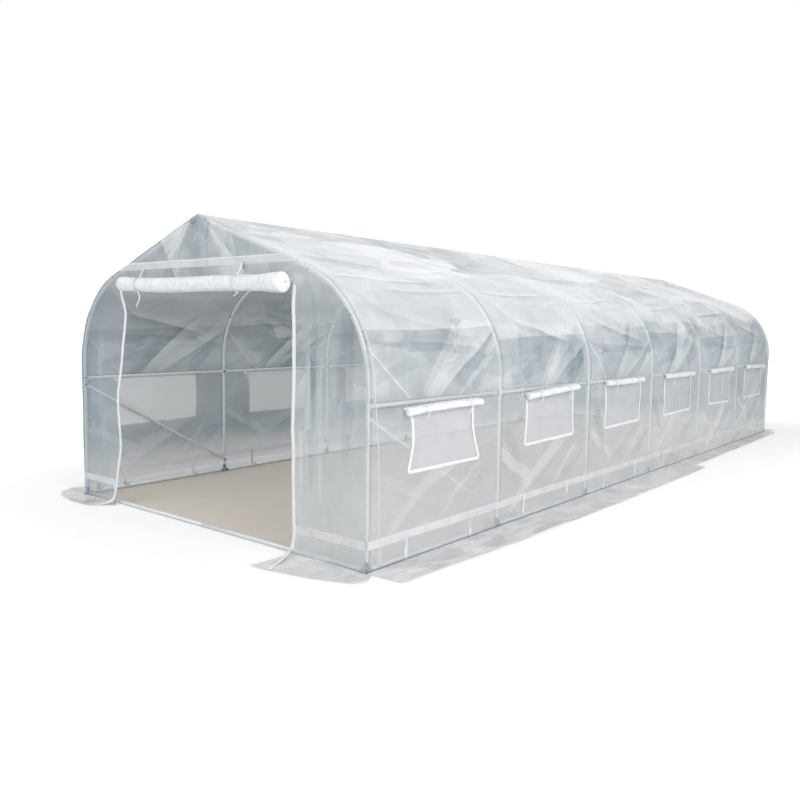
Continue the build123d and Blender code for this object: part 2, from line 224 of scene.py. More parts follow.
def swell(side, s, y):
    """How far the film stands out from its line over the hoops, at distances s from the ridge."""
    across = ((y - HOOP_Y[0]) / BAY) % 1.0
    inside = np.clip((y - HOOP_Y[0]) / BAY, 0, BAYS)
    between = np.where((inside > 0) & (inside < BAYS), 4 * across * (1 - across), 0)
    seed = 100 if side == RIGHT else 200
    roof = smooth(0.02, 0.45, s) * (1 - smooth(0.75, 1.15, s))
    shoulder = smooth(0.75, 1.25, s) * (1 - smooth(1.75, 2.15, s))
    wall = smooth(1.75, 2.1, s)
    sag = -between * (0.004 + 0.020 * roof + 0.030 * shoulder + 0.002 * wall)
    loose = between**0.6 * smooth(0.0, 0.14, s)
    along = 0.0065 * facets(s * 4.2 + 0.6 * y, y * 1.1, seed) + 0.0035 * facets(s * 8.5 - y, y * 2.3 + s, seed + 1)
    crumple = 0.0085 * facets(s * 2.6 - y * 0.8, y * 2.2 + s, seed + 2) + 0.004 * facets(s * 6.1 + y * 3, y * 5.3 - s * 2, seed + 3)
    fine = 0.0016 * facets(s * 13 + y * 4, y * 11 - s * 5, seed + 4)
    total = sag + loose * ((0.75 * roof + 0.4) * along + (1.4 * shoulder + 0.6 * wall + 0.25) * crumple + fine)
    shelf = 1.665 - 0.035 * inside + 0.05 * hills(y * 1.1, 2.0, seed + 6)
    total = total + 0.012 * loose * np.exp(-np.abs(s - shelf) / 0.09)
    for start, finish, height, width in PULL_LINES[side]:
        total = total + loose * crease(s, y, start, finish, height, width) * (1 - 0.45 * wall)
    foot = smooth(FOOT - 0.13, FOOT - 0.01, s)
    total = total * (1 - foot) + foot * loose * 0.004 * hills(y * 5, s, seed + 5)
    held = held_by_frame(s, y, wall)
    return held + RESTING * np.logaddexp(0, (total - held) / RESTING)


RESTING = 0.0022


def held_by_frame(s, y, wall):
    """The furthest the film can sink before it lies on a hoop, a rail or the ridge."""
    nearest = np.min([np.abs(y - hoop) for hoop in HOOP_Y], axis=0)
    over_hoop = -0.0012 - 0.30 * np.maximum(nearest - 0.010, 0)
    on_wall = -0.012 * wall - 0.2 * (1 - wall)
    on_ridge = -0.003 - 0.25 * np.maximum(s - 0.012, 0)
    return np.maximum.reduce([over_hoop, on_wall, on_ridge])


def on_cover(side, s, y, lift=0.0):
    """Points of the cover's surface, lifted off it outwards; s runs from the ridge down to the ground."""
    s, y = np.broadcast_arrays(np.asarray(s, float), np.asarray(y, float))
    z_wall = FOOT - s
    weight = smooth(1.55, 1.95, s)
    pulled_y, pulled_z = pulled(side, y, z_wall)
    y_now = y + (pulled_y - y) * weight
    s_now = s - (pulled_z - z_wall) * weight
    angle = np.clip((SLOPE + BEND_LENGTH - s_now) / FILM_BEND, 0, pi / 2 - PITCH)
    on_slope = np.minimum(s_now, SLOPE)
    down_wall = np.maximum(s_now - SLOPE - BEND_LENGTH, 0)
    apex = APEX_Z + FILM_LIFT / cos(PITCH)
    bend_x, bend_z = BEND_X + FILM_BEND * np.cos(angle), EAVE + FILM_BEND * np.sin(angle) - down_wall
    x = np.where(s_now < SLOPE, on_slope * cos(PITCH), bend_x)
    z = np.where(s_now < SLOPE, apex - on_slope * sin(PITCH), bend_z)
    rise = swell(side, s, y) + lift
    ridge = smooth(0.0, 0.10, s_now)
    out_x, out_z = np.cos(angle) * ridge, np.sin(angle) + (1 - np.sin(angle)) * (1 - ridge)
    y_edge = end_stand(s_now, y_now)
    return np.stack([side * (x + rise * out_x), y_now + y_edge, np.maximum(z + rise * out_z, GROUND)], axis=-1)


def end_stand(s, y):
    """How far the cover's last strip stands out past the end hoops, where the film turns the corner."""
    past = np.maximum(np.abs(y) - HALF_LENGTH, 0) / FILM_LIFT
    return np.sign(y) * past * 0.004 * hills(s * 7, np.sign(y) * 3.3, 31)


# Finishes


class Value:
    """One output of a node. Sums written with it add Math nodes to its material."""

    def __init__(self, finish, socket):
        self.finish = finish
        self.socket = socket

    def math(self, operation, *others):
        return self.finish.node("ShaderNodeMath", {"operation": operation}, dict(enumerate((self, *others))))

    def __add__(self, other):
        return self.math("ADD", other)

    __radd__ = __add__

    def __mul__(self, other):
        return self.math("MULTIPLY", other)

    __rmul__ = __mul__

    def __sub__(self, other):
        return self.math("SUBTRACT", other)

    def __rsub__(self, other):
        return self.finish.node("ShaderNodeMath", {"operation": "SUBTRACT"}, {0: other, 1: self})

    def __truediv__(self, other):
        return self.math("DIVIDE", other)

    def __pow__(self, power):
        return self.math("POWER", power)

    def least(self, other):
        return self.math("MINIMUM", other)

    def most(self, other):
        return self.math("MAXIMUM", other)

    def wave(self):
        return self.math("SINE")

    def step(self, low, high):
        """0 below low and 1 above high, with an even rise between them."""
        limits = {"Value": self, "From Min": low, "From Max": high}
        return self.finish.node("ShaderNodeMapRange", {"interpolation_type": "SMOOTHSTEP"}, limits)


class Finish:
    """A material, with the node calls that its recipe needs."""

    def __init__(self, name, fixed=None):
        self.material = bpy.data.materials.new(name)
        self.material.use_nodes = True
        self.tree = self.material.node_tree
        self.shader = self.tree.nodes["Principled BSDF"]
        self.set(fixed or {})

    def set(self, values):
        self.feed(self.shader, values)

    def feed(self, node, values):
        for key, value in values.items():
            socket = node.inputs[key]
            if isinstance(value, Value):
                self.tree.links.new(value.socket, socket)
            else:
                socket.default_value = value

    def node(self, kind, settings=None, values=None, output=0):
        node = self.tree.nodes.new(kind)
        for key, value in (settings or {}).items():
            setattr(node, key, value)
        self.feed(node, values or {})
        return Value(self, node.outputs[output])

    def place(self):
        return self.node("ShaderNodeTexCoord", output="Object")

    def bay_spot(self, place):
        """A place on the cover, as (down from the ridge, back from the bay's front hoop), with the bay's number."""
        flat = self.node("ShaderNodeTexCoord", output="UV")
        down, back = self.axis(flat, "X"), self.axis(flat, "Y")
        slow = self.hills(place, 0.75, 1.5, "Color")
        back = back + HALF_LENGTH
        number = (back / BAY).math("FLOOR") + self.axis(place, "X").step(-0.1, 0.1) * 0.6
        spot = {"X": down + (self.axis(slow, "X") - 0.5) * 0.16 + (number * 2.3).wave() * 0.045,
                "Y": back.math("FLOORED_MODULO", BAY) + (self.axis(slow, "Y") - 0.5) * 0.16 + (number * 3.9).wave() * 0.050}
        return self.node("ShaderNodeCombineXYZ", values=spot), number

    def stepped(self, spot, facets, amount):
        """The same places, each moved by a step in each facet, so that what is drawn there looks creased."""
        colour = self.node("ShaderNodeTexVoronoi", {"feature": "F1"}, {"Vector": facets, "Scale": 5.3}, "Color")
        centred = self.node("ShaderNodeVectorMath", {"operation": "SUBTRACT"}, {0: colour, 1: (0.5, 0.5, 0.5)})
        values = {0: centred, 1: (amount, amount, 0), 2: spot}
        return self.node("ShaderNodeVectorMath", {"operation": "MULTIPLY_ADD"}, values)

    def end_spot(self, place):
        """A place on an end, as (across, up)."""
        spot = {"X": self.axis(place, "X"), "Y": self.axis(place, "Z")}
        return self.node("ShaderNodeCombineXYZ", values=spot), self.axis(place, "Y").step(-0.1, 0.1)

    def stretched(self, place, scale, turn=(0, 0, 0)):
        return self.node("ShaderNodeMapping", values={"Vector": place, "Scale": scale, "Rotation": turn})

    def axis(self, place, letter):
        return self.node("ShaderNodeSeparateXYZ", values={"Vector": place}, output=letter)

    def hills(self, place, scale, detail=2.0, output="Fac"):
        values = {"Vector": place, "Scale": scale, "Detail": detail}
        return self.node("ShaderNodeTexNoise", values=values, output=output)

    def warped(self, place, scale, amount):
        """The same places, each moved a little by a smooth random field."""
        field = self.hills(place, scale, 1.0, "Color")
        centred = self.node("ShaderNodeVectorMath", {"operation": "SUBTRACT"}, {0: field, 1: (0.5, 0.5, 0.5)})
        return self.node("ShaderNodeVectorMath", {"operation": "MULTIPLY_ADD"}, {0: centred, 1: (amount,) * 3, 2: place})

    def cells(self, place, scale, feature="F1"):
        values = {"Vector": place, "Scale": scale}
        return self.node("ShaderNodeTexVoronoi", {"feature": feature}, values, "Distance")

    def cell_tone(self, place, scale):
        """A random value for each cell of a crazed pattern."""
        colour = self.node("ShaderNodeTexVoronoi", {"feature": "F1"}, {"Vector": place, "Scale": scale}, "Color")
        return self.axis(colour, "X")

    def leaning(self, place, scale, amount, over=None):
        """The surface's direction, leaning another way in each cell of a crazed pattern."""
        over = over or self.node("ShaderNodeNewGeometry", output="Normal")
        colour = self.node("ShaderNodeTexVoronoi", {"feature": "F1"}, {"Vector": place, "Scale": scale}, "Color")
        way = self.node("ShaderNodeVectorMath", {"operation": "SUBTRACT"}, {0: colour, 1: (0.5, 0.5, 0.5)})
        way = self.node("ShaderNodeVectorMath", {"operation": "SCALE"}, {0: way, "Scale": amount})
        return self.node("ShaderNodeVectorMath", {"operation": "ADD"}, {0: over, 1: way})

    def beside_line(self, spot, start, end):
        """How far along a line a spot is, how far to its side, the line's direction, and a mask of its length."""
        run = (end[0] - start[0], end[1] - start[1])
        length = hypot(*run)
        way = (run[0] / length, run[1] / length)
        off = self.node("ShaderNodeVectorMath", {"operation": "SUBTRACT"}, {0: spot, 1: (*start, 0)})
        dot = {"operation": "DOT_PRODUCT"}
        along = self.node("ShaderNodeVectorMath", dot, {0: off, 1: (way[0] / length, way[1] / length, 0)}, "Value")
        beside = self.node("ShaderNodeVectorMath", dot, {0: off, 1: (-way[1], way[0], 0)}, "Value")
        return along, beside, way, along.step(0.0, 0.20) * (1 - along.step(0.75, 1.0))

    def fold(self, spot, start, end, reach, lean, white, on_end):
        """A crease between two places: how the film leans on both sides of it, and its whitened line."""
        _, beside, way, there = self.beside_line(spot, start, end)
        away = beside.math("ABSOLUTE")
        side = beside.step(-0.003, 0.003) * 2 - 1
        tilt = there * (1 - away.step(0.0, reach)) * side * lean
        aside = (-way[1], 0, way[0]) if on_end else (0, way[0], way[1])
        leaning = self.node("ShaderNodeVectorMath", {"operation": "SCALE"}, {0: aside, "Scale": tilt})
        return leaning, there * (1 - away.step(0.001, 0.008)) * white

    def strip(self, spot, start, end, half_width, light):
        """A painted paler wedge (painted reflection) or darker wedge (painted shade) between two places, widest at the
        second.
        """
        along, beside, _, there = self.beside_line(spot, start, end)
        off_middle = beside.math("ABSOLUTE") / (along * 0.9 + 0.45).most(0.1)
        return there * (1 - off_middle.step(half_width * 0.5, half_width)) * light

    def mixed(self, mask, first, second):
        """The first colour where the mask is 0, the second where it is 1."""
        mix = self.tree.nodes.new("ShaderNodeMix")
        mix.data_type = "RGBA"
        self.feed(mix, {0: mask, 6: first, 7: second})
        return Value(self, mix.outputs[2])

    def bump(self, height, depth, strength=1.0, over=None):
        values = {"Height": height, "Distance": depth, "Strength": strength}
        if over is not None:
            values["Normal"] = over
        return self.node("ShaderNodeBump", values=values)


def shade(red, green, blue):
    """A colour as a screen shows it, from 0 to 255, in the linear values that Blender uses."""
    return (*[((c / 255 + 0.055) / 1.055) ** 2.4 if c > 10 else c / 255 / 12.92 for c in (red, green, blue)], 1.0)


HOOP_CONTACT = 0.013

# Creases that every bay has, as (from, to, reach of its leaning sides, lean, whiteness of its line). Places are
# (distance down from the ridge, distance back from the bay's front hoop).
BAY_FOLDS = [
    ((1.69, -0.60), (1.60, 1.95), 0.15, 0.075, 0.03),
    ((1.56, -0.14), (2.30, 0.56), 0.09, 0.08, 0.32),
    ((1.18, -0.02), (1.62, 0.48), 0.10, 0.13, 0.06),
    ((1.50, 0.28), (1.72, 1.16), 0.09, 0.13, 0.06),
    ((2.12, 0.42), (1.50, 1.06), 0.12, -0.12, 0.04),
    ((2.14, 0.56), (1.60, 1.46), 0.12, 0.12, 0.03),
    ((1.23, 0.10), (1.19, 1.22), 0.05, 0.13, 0.03),
    ((1.34, 0.44), (1.30, 1.40), 0.06, 0.10, 0.02),
    ((0.60, 0.10), (0.70, 1.35), 0.10, 0.07, 0.02),
    ((2.43, -0.04), (2.74, 0.50), 0.12, 0.09, 0.03),
    ((2.74, 0.42), (2.42, 1.06), 0.12, 0.09, 0.03),
]
# Painted reflections and shade: paler and darker wedges that every bay has, as (from, to, half width, lightness, turn
# of its strength bay by bay)
BAY_PAINTED_LIGHT = [
    ((2.16, 0.44), (1.54, 1.20), 0.060, 0.36, -1.57),
    ((2.12, 0.82), (1.68, 1.42), 0.030, 0.30, -0.60),
    ((1.78, 1.30), (1.75, 0.02), 0.045, -0.30, 0.4),
    ((1.76, 1.28), (2.06, 0.96), 0.070, -0.34, 1.57),
    ((1.98, 0.06), (1.82, 0.72), 0.060, -0.24, 0.9),
    ((2.90, 0.10), (2.40, 0.92), 0.060, 0.56, 0.6),
    ((2.40, -0.06), (2.74, 0.50), 0.055, 0.66, 1.57),
    ((2.86, 0.66), (2.46, 1.16), 0.030, 0.46, 0.2),
    ((2.66, 0.30), (2.24, 0.06), 0.070, -0.46, 1.2),
    ((2.56, 1.28), (2.80, 0.84), 0.050, -0.40, 0.5),
]
# The same for an end, with places as (across, up)
END_FOLDS = [
    ((0.02, 2.10), (-0.62, 1.62), 0.06, 0.08, 0.10),
    ((0.00, 2.12), (-0.30, 1.56), 0.08, -0.08, 0.06),
    ((0.00, 2.12), (0.12, 1.54), 0.08, 0.08, 0.06),
    ((-0.02, 2.10), (0.52, 1.62), 0.06, -0.08, 0.10),
    ((1.04, 1.55), (1.02, 0.30), 0.10, 0.12, 0.05),
    ((1.22, 1.30), (1.16, 0.20), 0.08, -0.12, 0.04),
    ((-1.10, 1.50), (-1.24, 0.25), 0.10, 0.12, 0.04),
    ((-1.45, 1.40), (-1.38, 0.10), 0.08, -0.12, 0.04),
]
# Painted reflections and shade on an end, as (from, to, half width, lightness, turn of its strength), with places as
# (across, up)
END_PAINTED_LIGHT = [
    ((0.00, 2.10), (-0.10, 1.64), 0.150, -0.42, 1.3),
    ((0.04, 2.06), (0.22, 1.66), 0.070, -0.24, 1.3),
    ((-0.02, 2.08), (-0.44, 1.68), 0.036, 0.26, 1.3),
    ((0.02, 2.08), (0.42, 1.68), 0.036, 0.24, 1.3),
    ((0.00, 2.08), (0.06, 1.66), 0.014, 0.30, 1.3),
    ((1.00, 0.36), (1.01, 1.34), 0.030, 0.42, 1.3),
    ((1.15, 0.30), (1.145, 1.26), 0.024, 0.36, 1.3),
    ((1.08, 0.36), (1.08, 1.36), 0.040, -0.40, 1.3),
    ((1.30, 0.50), (1.36, 1.50), 0.070, -0.34, 1.3),
    ((-1.22, 0.30), (-1.18, 1.42), 0.036, 0.34, 1.3),
    ((-1.40, 0.20), (-1.36, 1.34), 0.060, -0.36, 1.3),
]
# The direction from which the film's painted shading takes its light
TO_LIGHT = (0.0, -0.36, 0.93)


def film_finish(name, dim, tint, low, middle, high, streaks=(1.0, 0.5, 1.0), haze=0.12, gloss=0.12, slackness=1.0,
                creases=(), painted_light_strips=(), on_end=False):
    """Clear sheeting: flat facets that lean this way and that, whitened creases and an uneven haze.

    Facets that lean to the light are paler and cloudier. It is clearest low down, where it hangs straight."""
    finish = Finish(name, {"IOR": 2.9})
    place = finish.place()
    moved = finish.warped(place, 1.1, 0.10)
    long_way = finish.stretched(moved, streaks, (0.45, 0.30, 0.35))
    other_way = finish.stretched(moved, streaks, (-0.60, 0.10, -0.25))
    tone = finish.cell_tone(long_way, 1.7) * 0.45 + finish.cell_tone(other_way, 4.1) * 0.55
    height = finish.axis(place, "Z")
    above_rail = height.step(0.86, 1.06)
    upper = (height + (tone - 0.5) * 0.20 + (finish.hills(place, 2.0) - 0.5) * 0.25).step(1.28, 1.48)
    slack = finish.hills(place, 0.9, 2.0).step(0.30, 0.70) * (0.30 + 0.70 * above_rail)
    straight = finish.node("ShaderNodeNewGeometry", output="Normal")
    lean = finish.leaning(long_way, 1.7, (slack * 0.6 + 0.30) * 0.24 * slackness, straight)
    lean = finish.leaning(other_way, 4.1, (slack * 0.6 + 0.22) * 0.20 * slackness, lean)
    lean = finish.leaning(finish.stretched(moved, streaks, (0.9, 0.5, 0.0)), 10.0, slack * 0.10 * slackness, lean)
    faded = finish.hills(place, 3.1, 2.0).step(0.54, 0.74) * above_rail
    line = (1 - finish.cells(other_way, 4.1, "DISTANCE_TO_EDGE").step(0.0, 0.020)) * faded
    line = line.most((1 - finish.cells(long_way, 1.7, "DISTANCE_TO_EDGE").step(0.0, 0.009)) * faded * 0.7)
    line = line * 0.15
    cloud = finish.hills(moved, 2.3, 4.0)
    pale = (tone - 0.5) * 0.30 + (cloud - 0.5) * 0.5
    spot, number = finish.end_spot(place) if on_end else finish.bay_spot(place)
    for k, (start, end, reach, tilt, white) in enumerate(creases):
        strength = (number * (1.9 + 0.83 * k) + 0.6 * k).wave() * 0.4 + 0.7
        tilt = strength * tilt
        leaning, whitened = finish.fold(spot, start, end, reach, tilt, white, on_end)
        lean = finish.node("ShaderNodeVectorMath", {"operation": "ADD"}, {0: lean, 1: leaning})
        line = line + whitened * strength
    spot = finish.stepped(spot, other_way, 0.06)
    # painted reflections and shade: each wedge makes the film's colour paler or darker
    for k, (start, end, half_width, light, turn) in enumerate(painted_light_strips):
        strength = (number * (2.6 + 0.31 * k) + turn).wave() * 0.5 + 0.65
        pale = pale + finish.strip(spot, start, end, half_width, light) * strength
    # painted shading: facets that lean towards TO_LIGHT are painted paler, and those that lean away are painted darker
    offset = finish.node("ShaderNodeVectorMath", {"operation": "SUBTRACT"}, {0: lean, 1: straight})
    to_light = finish.node("ShaderNodeVectorMath", {"operation": "DOT_PRODUCT"}, {0: offset, 1: TO_LIGHT}, "Value")
    pale = (pale + to_light * 2.6) * (0.45 + 0.55 * above_rail)
    if on_end:
        # painted light and shade: an end's right-hand panel is painted paler and its left-hand panel darker
        across = finish.axis(place, "X")
        pale = pale + across.step(0.50, 0.95) * 0.26 * (0.35 + 0.65 * above_rail) + across.step(-0.95, -0.50) * 0.40 - 0.40
    clear = low + (middle - low) * above_rail + (high - middle) * upper + (cloud - 0.5) * haze + pale * haze * 1.6 + line
    if not on_end:
        past = (finish.axis(place, "Y") + HALF_LENGTH).math("PINGPONG", BAY / 2)
        past = past.least((height - SIDE_RAIL_Z).math("ABSOLUTE"))
        clear = clear * (0.55 + 0.45 * past.step(HOOP_CONTACT, HOOP_CONTACT + 0.012))
    lean = finish.node("ShaderNodeVectorMath", {"operation": "NORMALIZE"}, {0: lean})
    facing = finish.node("ShaderNodeLayerWeight", values={"Blend": 0.5}, output="Facing")
    sheen = 0.04 + 0.96 * facing**5
    sheen = sheen * 2 / (sheen + 1)
    fine = finish.hills(finish.stretched(moved, (1.0, 0.35, 1.0), (0.5, 0.0, 0.3)), 7.0, 1.0)
    finish.set({
        "Base Color": finish.mixed((0.70 + pale).least(1.0).most(0.0), shade(*dim), shade(*tint)),
        "Roughness": gloss + cloud * 0.10 + line,
        "Alpha": 1 - (1 - clear.least(1.0).most(0.0)) * (1 - sheen),
        "Normal": finish.bump(fine, 0.010, 0.8, lean),
    })
    return finish.material


def flap_finish():
    """The cover's foot on the ground: a dusty double layer with short folds, and a painted shadow along its inner edge,
    under the rail.
    """
    finish = Finish("ground_flap_film", {"IOR": 1.6})
    place = finish.place()
    moved = finish.warped(place, 2.0, 0.12)
    crumpled = finish.stretched(moved, (1.6, 1.0, 1.6), (0.0, 0.0, 0.7))
    tone = finish.cell_tone(crumpled, 4.5) * 0.5 + finish.cell_tone(crumpled, 11.0) * 0.5
    lean = finish.leaning(crumpled, 4.5, 0.15)
    lean = finish.leaning(crumpled, 11.0, 0.09, lean)
    dust = finish.hills(moved, 3.2, 4.0)
    across, back = finish.axis(place, "X").math("ABSOLUTE"), finish.axis(place, "Y").math("ABSOLUTE")
    # painted shadow: a dark strip along the flap's inner edge, where the rail shades the ground
    painted_rail_shadow = 1 - (across - WALL_X).most(back - END_Y).step(0.006, 0.020)
    line = 1 - finish.cells(crumpled, 4.5, "DISTANCE_TO_EDGE").step(0.0, 0.022)
    pale = (0.5 + (tone - 0.5) * 0.6 + (dust - 0.5) * 0.8 + line * 0.2).least(1.0).most(0.0)
    film = finish.mixed(pale, shade(220, 221, 223), shade(247, 247, 247))
    finish.set({
        "Base Color": finish.mixed(painted_rail_shadow * 0.9, film, shade(84, 92, 97)),
        "Roughness": 0.22 + dust * 0.16,
        "Alpha": (0.62 + dust * 0.26 + tone * 0.08 + line * 0.12 + painted_rail_shadow * 0.4).least(1.0),
        "Normal": finish.node("ShaderNodeVectorMath", {"operation": "NORMALIZE"}, {0: lean}),
    })
    return finish.material


def tube_finish():
    """Galvanised tube: dull zinc with a faint crystal pattern, a drawn grain and a few dull patches."""
    finish = Finish("zinc_coated_tube", {"IOR": 1.5})
    place = finish.place()
    crystals = finish.node("ShaderNodeTexVoronoi", {"feature": "F1"}, {"Vector": place, "Scale": 140.0}, "Color")
    tone = finish.axis(crystals, "X")
    patches = finish.hills(place, 9.0, 4.0)
    dull = patches.step(0.45, 0.72)
    pale = finish.mixed(tone * 0.5 + patches * 0.5, shade(232, 237, 239), shade(248, 250, 250))
    finish.set({
        "Base Color": finish.mixed(dull * 0.45, pale, shade(214, 220, 222)),
        "Metallic": 0.28 + 0.22 * (1 - dull),
        "Roughness": 0.30 + dull * 0.18 + tone * 0.06,
        "Normal": finish.bump(finish.hills(place, 260.0, 2.0) + tone * 0.3, 0.0004, 0.35),
    })
    return finish.material


def fitting_finish():
    """Darker cast and plated fittings, with paler patches of grey bloom."""
    finish = Finish("plated_fitting", {"IOR": 1.5})
    place = finish.place()
    cast = finish.hills(place, 170.0, 3.0)
    bloom = finish.hills(place, 34.0, 4.0).step(0.48, 0.72)
    finish.set({
        "Base Color": finish.mixed(bloom, shade(146, 160, 165), shade(184, 194, 197)),
        "Metallic": 0.55 - bloom * 0.25,
        "Roughness": 0.38 + cast * 0.22,
        "Normal": finish.bump(cast, 0.0006, 0.4),
    })
    return finish.material


def bolt_finish():
    finish = Finish("dark_bolt", {"IOR": 1.5})
    place = finish.place()
    wear = finish.hills(place, 420.0, 3.0).step(0.45, 0.75)
    finish.set({
        "Base Color": finish.mixed(wear, shade(58, 66, 72), shade(120, 128, 132)),
        "Metallic": 0.6 + wear * 0.2,
        "Roughness": 0.42 - wear * 0.12,
        "Normal": finish.bump(finish.hills(place, 800.0), 0.0002, 0.4),
    })
    return finish.material


def webbing_finish(name, pale, dark, ribs=900.0):
    """Woven white tape: fine crossing ribs with darker gaps and a faint grime."""
    finish = Finish(name, {"Roughness": 0.62, "IOR": 1.46})
    place = finish.place()
    x, y, z = [finish.axis(place, letter) for letter in "XYZ"]
    across = ((x + y) * ribs).wave() * 0.5 + 0.5
    down = ((z + (x - y) * 0.5) * ribs).wave() * 0.5 + 0.5
    weave = across * down
    grime = finish.hills(place, 14.0, 4.0).step(0.5, 0.8)
    thread = finish.mixed(weave, dark, pale)
    finish.set({
        "Base Color": finish.mixed(grime * 0.35, thread, shade(214, 214, 210)),
        "Normal": finish.bump(weave, 0.0004, 0.6),
    })
    return finish.material


def netting_finish():
    """Fine white insect netting: square threads with open holes, and slack cloudy patches.

    The left side's is painted paler and made closer, as painted light, so that it stands out against the film when it
    is seen from inside."""
    finish = Finish("insect_netting", {"Roughness": 0.7})
    place = finish.place()
    y, z = finish.axis(place, "Y"), finish.axis(place, "Z")
    pitch = 2 * pi / 0.0024
    threads = ((y * pitch).wave() * 0.5 + 0.5).most((z * pitch).wave() * 0.5 + 0.5)
    woven = threads.step(0.45, 0.80)
    cloud = finish.hills(place, 6.0, 3.0)
    # painted light: the left side's netting gets a paler colour and more alpha than the right side's
    left = 1 - finish.axis(place, "X").step(-0.1, 0.1)
    right_netting = finish.mixed(cloud, shade(210, 212, 216), shade(226, 227, 231))
    finish.set({
        "Base Color": finish.mixed(left, right_netting, shade(238, 241, 243)),
        "Alpha": (0.42 + left * 0.24 + woven * 0.34 + cloud * 0.06).least(1.0),
        "Normal": finish.bump(threads * 0.2 + cloud, 0.004, 0.5),
    })
    return finish.material


def band_finish():
    """The translucent white band that is welded to the film, with a fine pattern of dimples."""
    finish = Finish("welded_band", {"IOR": 1.5})
    place = finish.place()
    x, y = finish.axis(place, "X"), finish.axis(place, "Y")
    dimples = ((x + y) * 420.0).wave() * 0.5 + 0.5
    cloud = finish.hills(place, 9.0, 4.0)
    folds = finish.cells(finish.warped(place, 6.0, 0.08), 18.0)
    finish.set({
        "Base Color": finish.mixed(cloud, shade(226, 228, 232), shade(246, 247, 249)),
        "Roughness": 0.34 + cloud * 0.2,
        "Alpha": 0.52 + cloud * 0.20 + dimples * 0.05,
        "Normal": finish.bump(folds + dimples * 0.06, 0.010, 0.7),
    })
    return finish.material


def rolled_finish():
    """Film that is rolled up: many layers, so nearly white, with lengthwise creases."""
    finish = Finish("rolled_layers", {"IOR": 1.5})
    place = finish.place()
    moved = finish.warped(place, 5.0, 0.05)
    along = finish.cells(moved, 22.0)
    fine = finish.cells(moved, 60.0)
    cloud = finish.hills(place, 8.0, 4.0)
    finish.set({
        "Base Color": finish.mixed(cloud, shade(228, 231, 234), shade(249, 250, 251)),
        "Roughness": 0.26 + cloud * 0.16,
        "Alpha": 0.94 + cloud * 0.06,
        "Normal": finish.bump(along * 0.012 + fine * 0.003, 1.0, 0.8),
    })
    return finish.material


FILM = film_finish("clear_film", (172, 188, 197), (250, 251, 254), 0.37, 0.51, 0.57, creases=BAY_FOLDS, painted_light_strips=BAY_PAINTED_LIGHT)
END_FILM = film_finish("clear_end_film", (150, 172, 187), (243, 249, 252), 0.38, 0.30, 0.32, (1.0, 1.0, 0.40), 0.14, 0.13,
                       creases=END_FOLDS, painted_light_strips=END_PAINTED_LIGHT, on_end=True)
FLAP_FILM = flap_finish()
TUBE = tube_finish()
FITTING = fitting_finish()
BOLT = bolt_finish()
BINDING = webbing_finish("woven_binding", shade(252, 252, 252), shade(226, 227, 228))
WEBBING = webbing_finish("tie_webbing", shade(252, 252, 253), shade(222, 223, 226), 1400.0)
NETTING = netting_finish()
BAND = band_finish()
ROLLED = rolled_finish()


# Building


def kept(obj, material, slot, *nodes):
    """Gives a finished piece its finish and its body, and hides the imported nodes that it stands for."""
    obj.data.materials.clear()
    obj.data.materials.append(material)
    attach(obj, "root")
    if nodes:
        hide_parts(*nodes)
    return obj


def mesh_object(name, points, faces):
    mesh = bpy.data.meshes.new(name)
    mesh.from_pydata(points, [], faces)
    mesh.polygons.foreach_set("use_smooth", [True] * len(mesh.polygons))
    mesh.update()
    obj = bpy.data.objects.new(name, mesh)
    bpy.context.scene.collection.objects.link(obj)
    return obj


def cloth(name, points, outward, keep=None, spots=None):
    """A thin sheet over a grid of points; outward says which way its faces point, keep which are there.

    spots are the points' places on the flat sheet, for its finish."""
    rows, cols = points.shape[:2]
    index = np.arange(rows * cols).reshape(rows, cols)
    quads = np.stack([index[:-1, :-1], index[:-1, 1:], index[1:, 1:], index[1:, :-1]], axis=-1)
    quads = quads[keep] if keep is not None else quads.reshape(-1, 4)
    flat = points.reshape(-1, 3)
    first, second, third = (flat[quads[:, k]] for k in range(3))
    facing = np.cross(second - first, third - first)
    if (facing * outward(first)).sum() < 0:
        quads = quads[:, ::-1]
    used, renumbered = np.unique(quads, return_inverse=True)
    sheet = mesh_object(name, flat[used].tolist(), renumbered.reshape(-1, 4).tolist())
    if spots is not None:
        layer = sheet.data.uv_layers.new(name="flat_place")
        layer.uv.foreach_set("vector", spots.reshape(-1, 2)[used][renumbered.reshape(-1)].ravel())
    return sheet


def out_of_tunnel(points):
    return points * (1, 0, 1) - (0, 0, 1.0)


def facing_end(end):
    return lambda points: np.broadcast_to((0.0, float(end), 0.0), points.shape)


def facing_up(points):
    return np.broadcast_to((0.0, 0.0, 1.0), points.shape)


def lines(step, *marks):
    """Evenly spaced values from the first mark to the last, with one on every mark."""
    parts = [np.linspace(a, b, max(1, round((b - a) / step)) + 1)[:-1] for a, b in zip(marks, marks[1:])]
    return np.concatenate([*parts, [marks[-1]]])


def tape(name, middle, across, outward, width, thick):
    """A flat tape with rounded edges along a line of points. across and outward are unit vectors at each."""
    half, deep = width / 2, thick / 2
    section = [(-half, -0.4), (-half * 0.93, -1), (half * 0.93, -1), (half, -0.4),
               (half, 0.4), (half * 0.93, 1), (-half * 0.93, 1), (-half, 0.4)]
    rings = np.stack([middle + across * a + outward * (b * deep) for a, b in section], axis=1)
    count, size = rings.shape[:2]
    index = np.arange(count * size).reshape(count, size)
    after = np.roll(index, -1, axis=1)
    faces = np.stack([index[:-1], after[:-1], after[1:], index[1:]], axis=-1).reshape(-1, 4).tolist()
    faces += [index[0, ::-1].tolist(), index[-1].tolist()]
    obj = mesh_object(name, rings.reshape(-1, 3).tolist(), faces)
    outward_faces(obj)
    return obj


def only(obj):
    """Selects this object alone."""
    bpy.ops.object.select_all(action="DESELECT")
    obj.select_set(True)
    bpy.context.view_layer.objects.active = obj


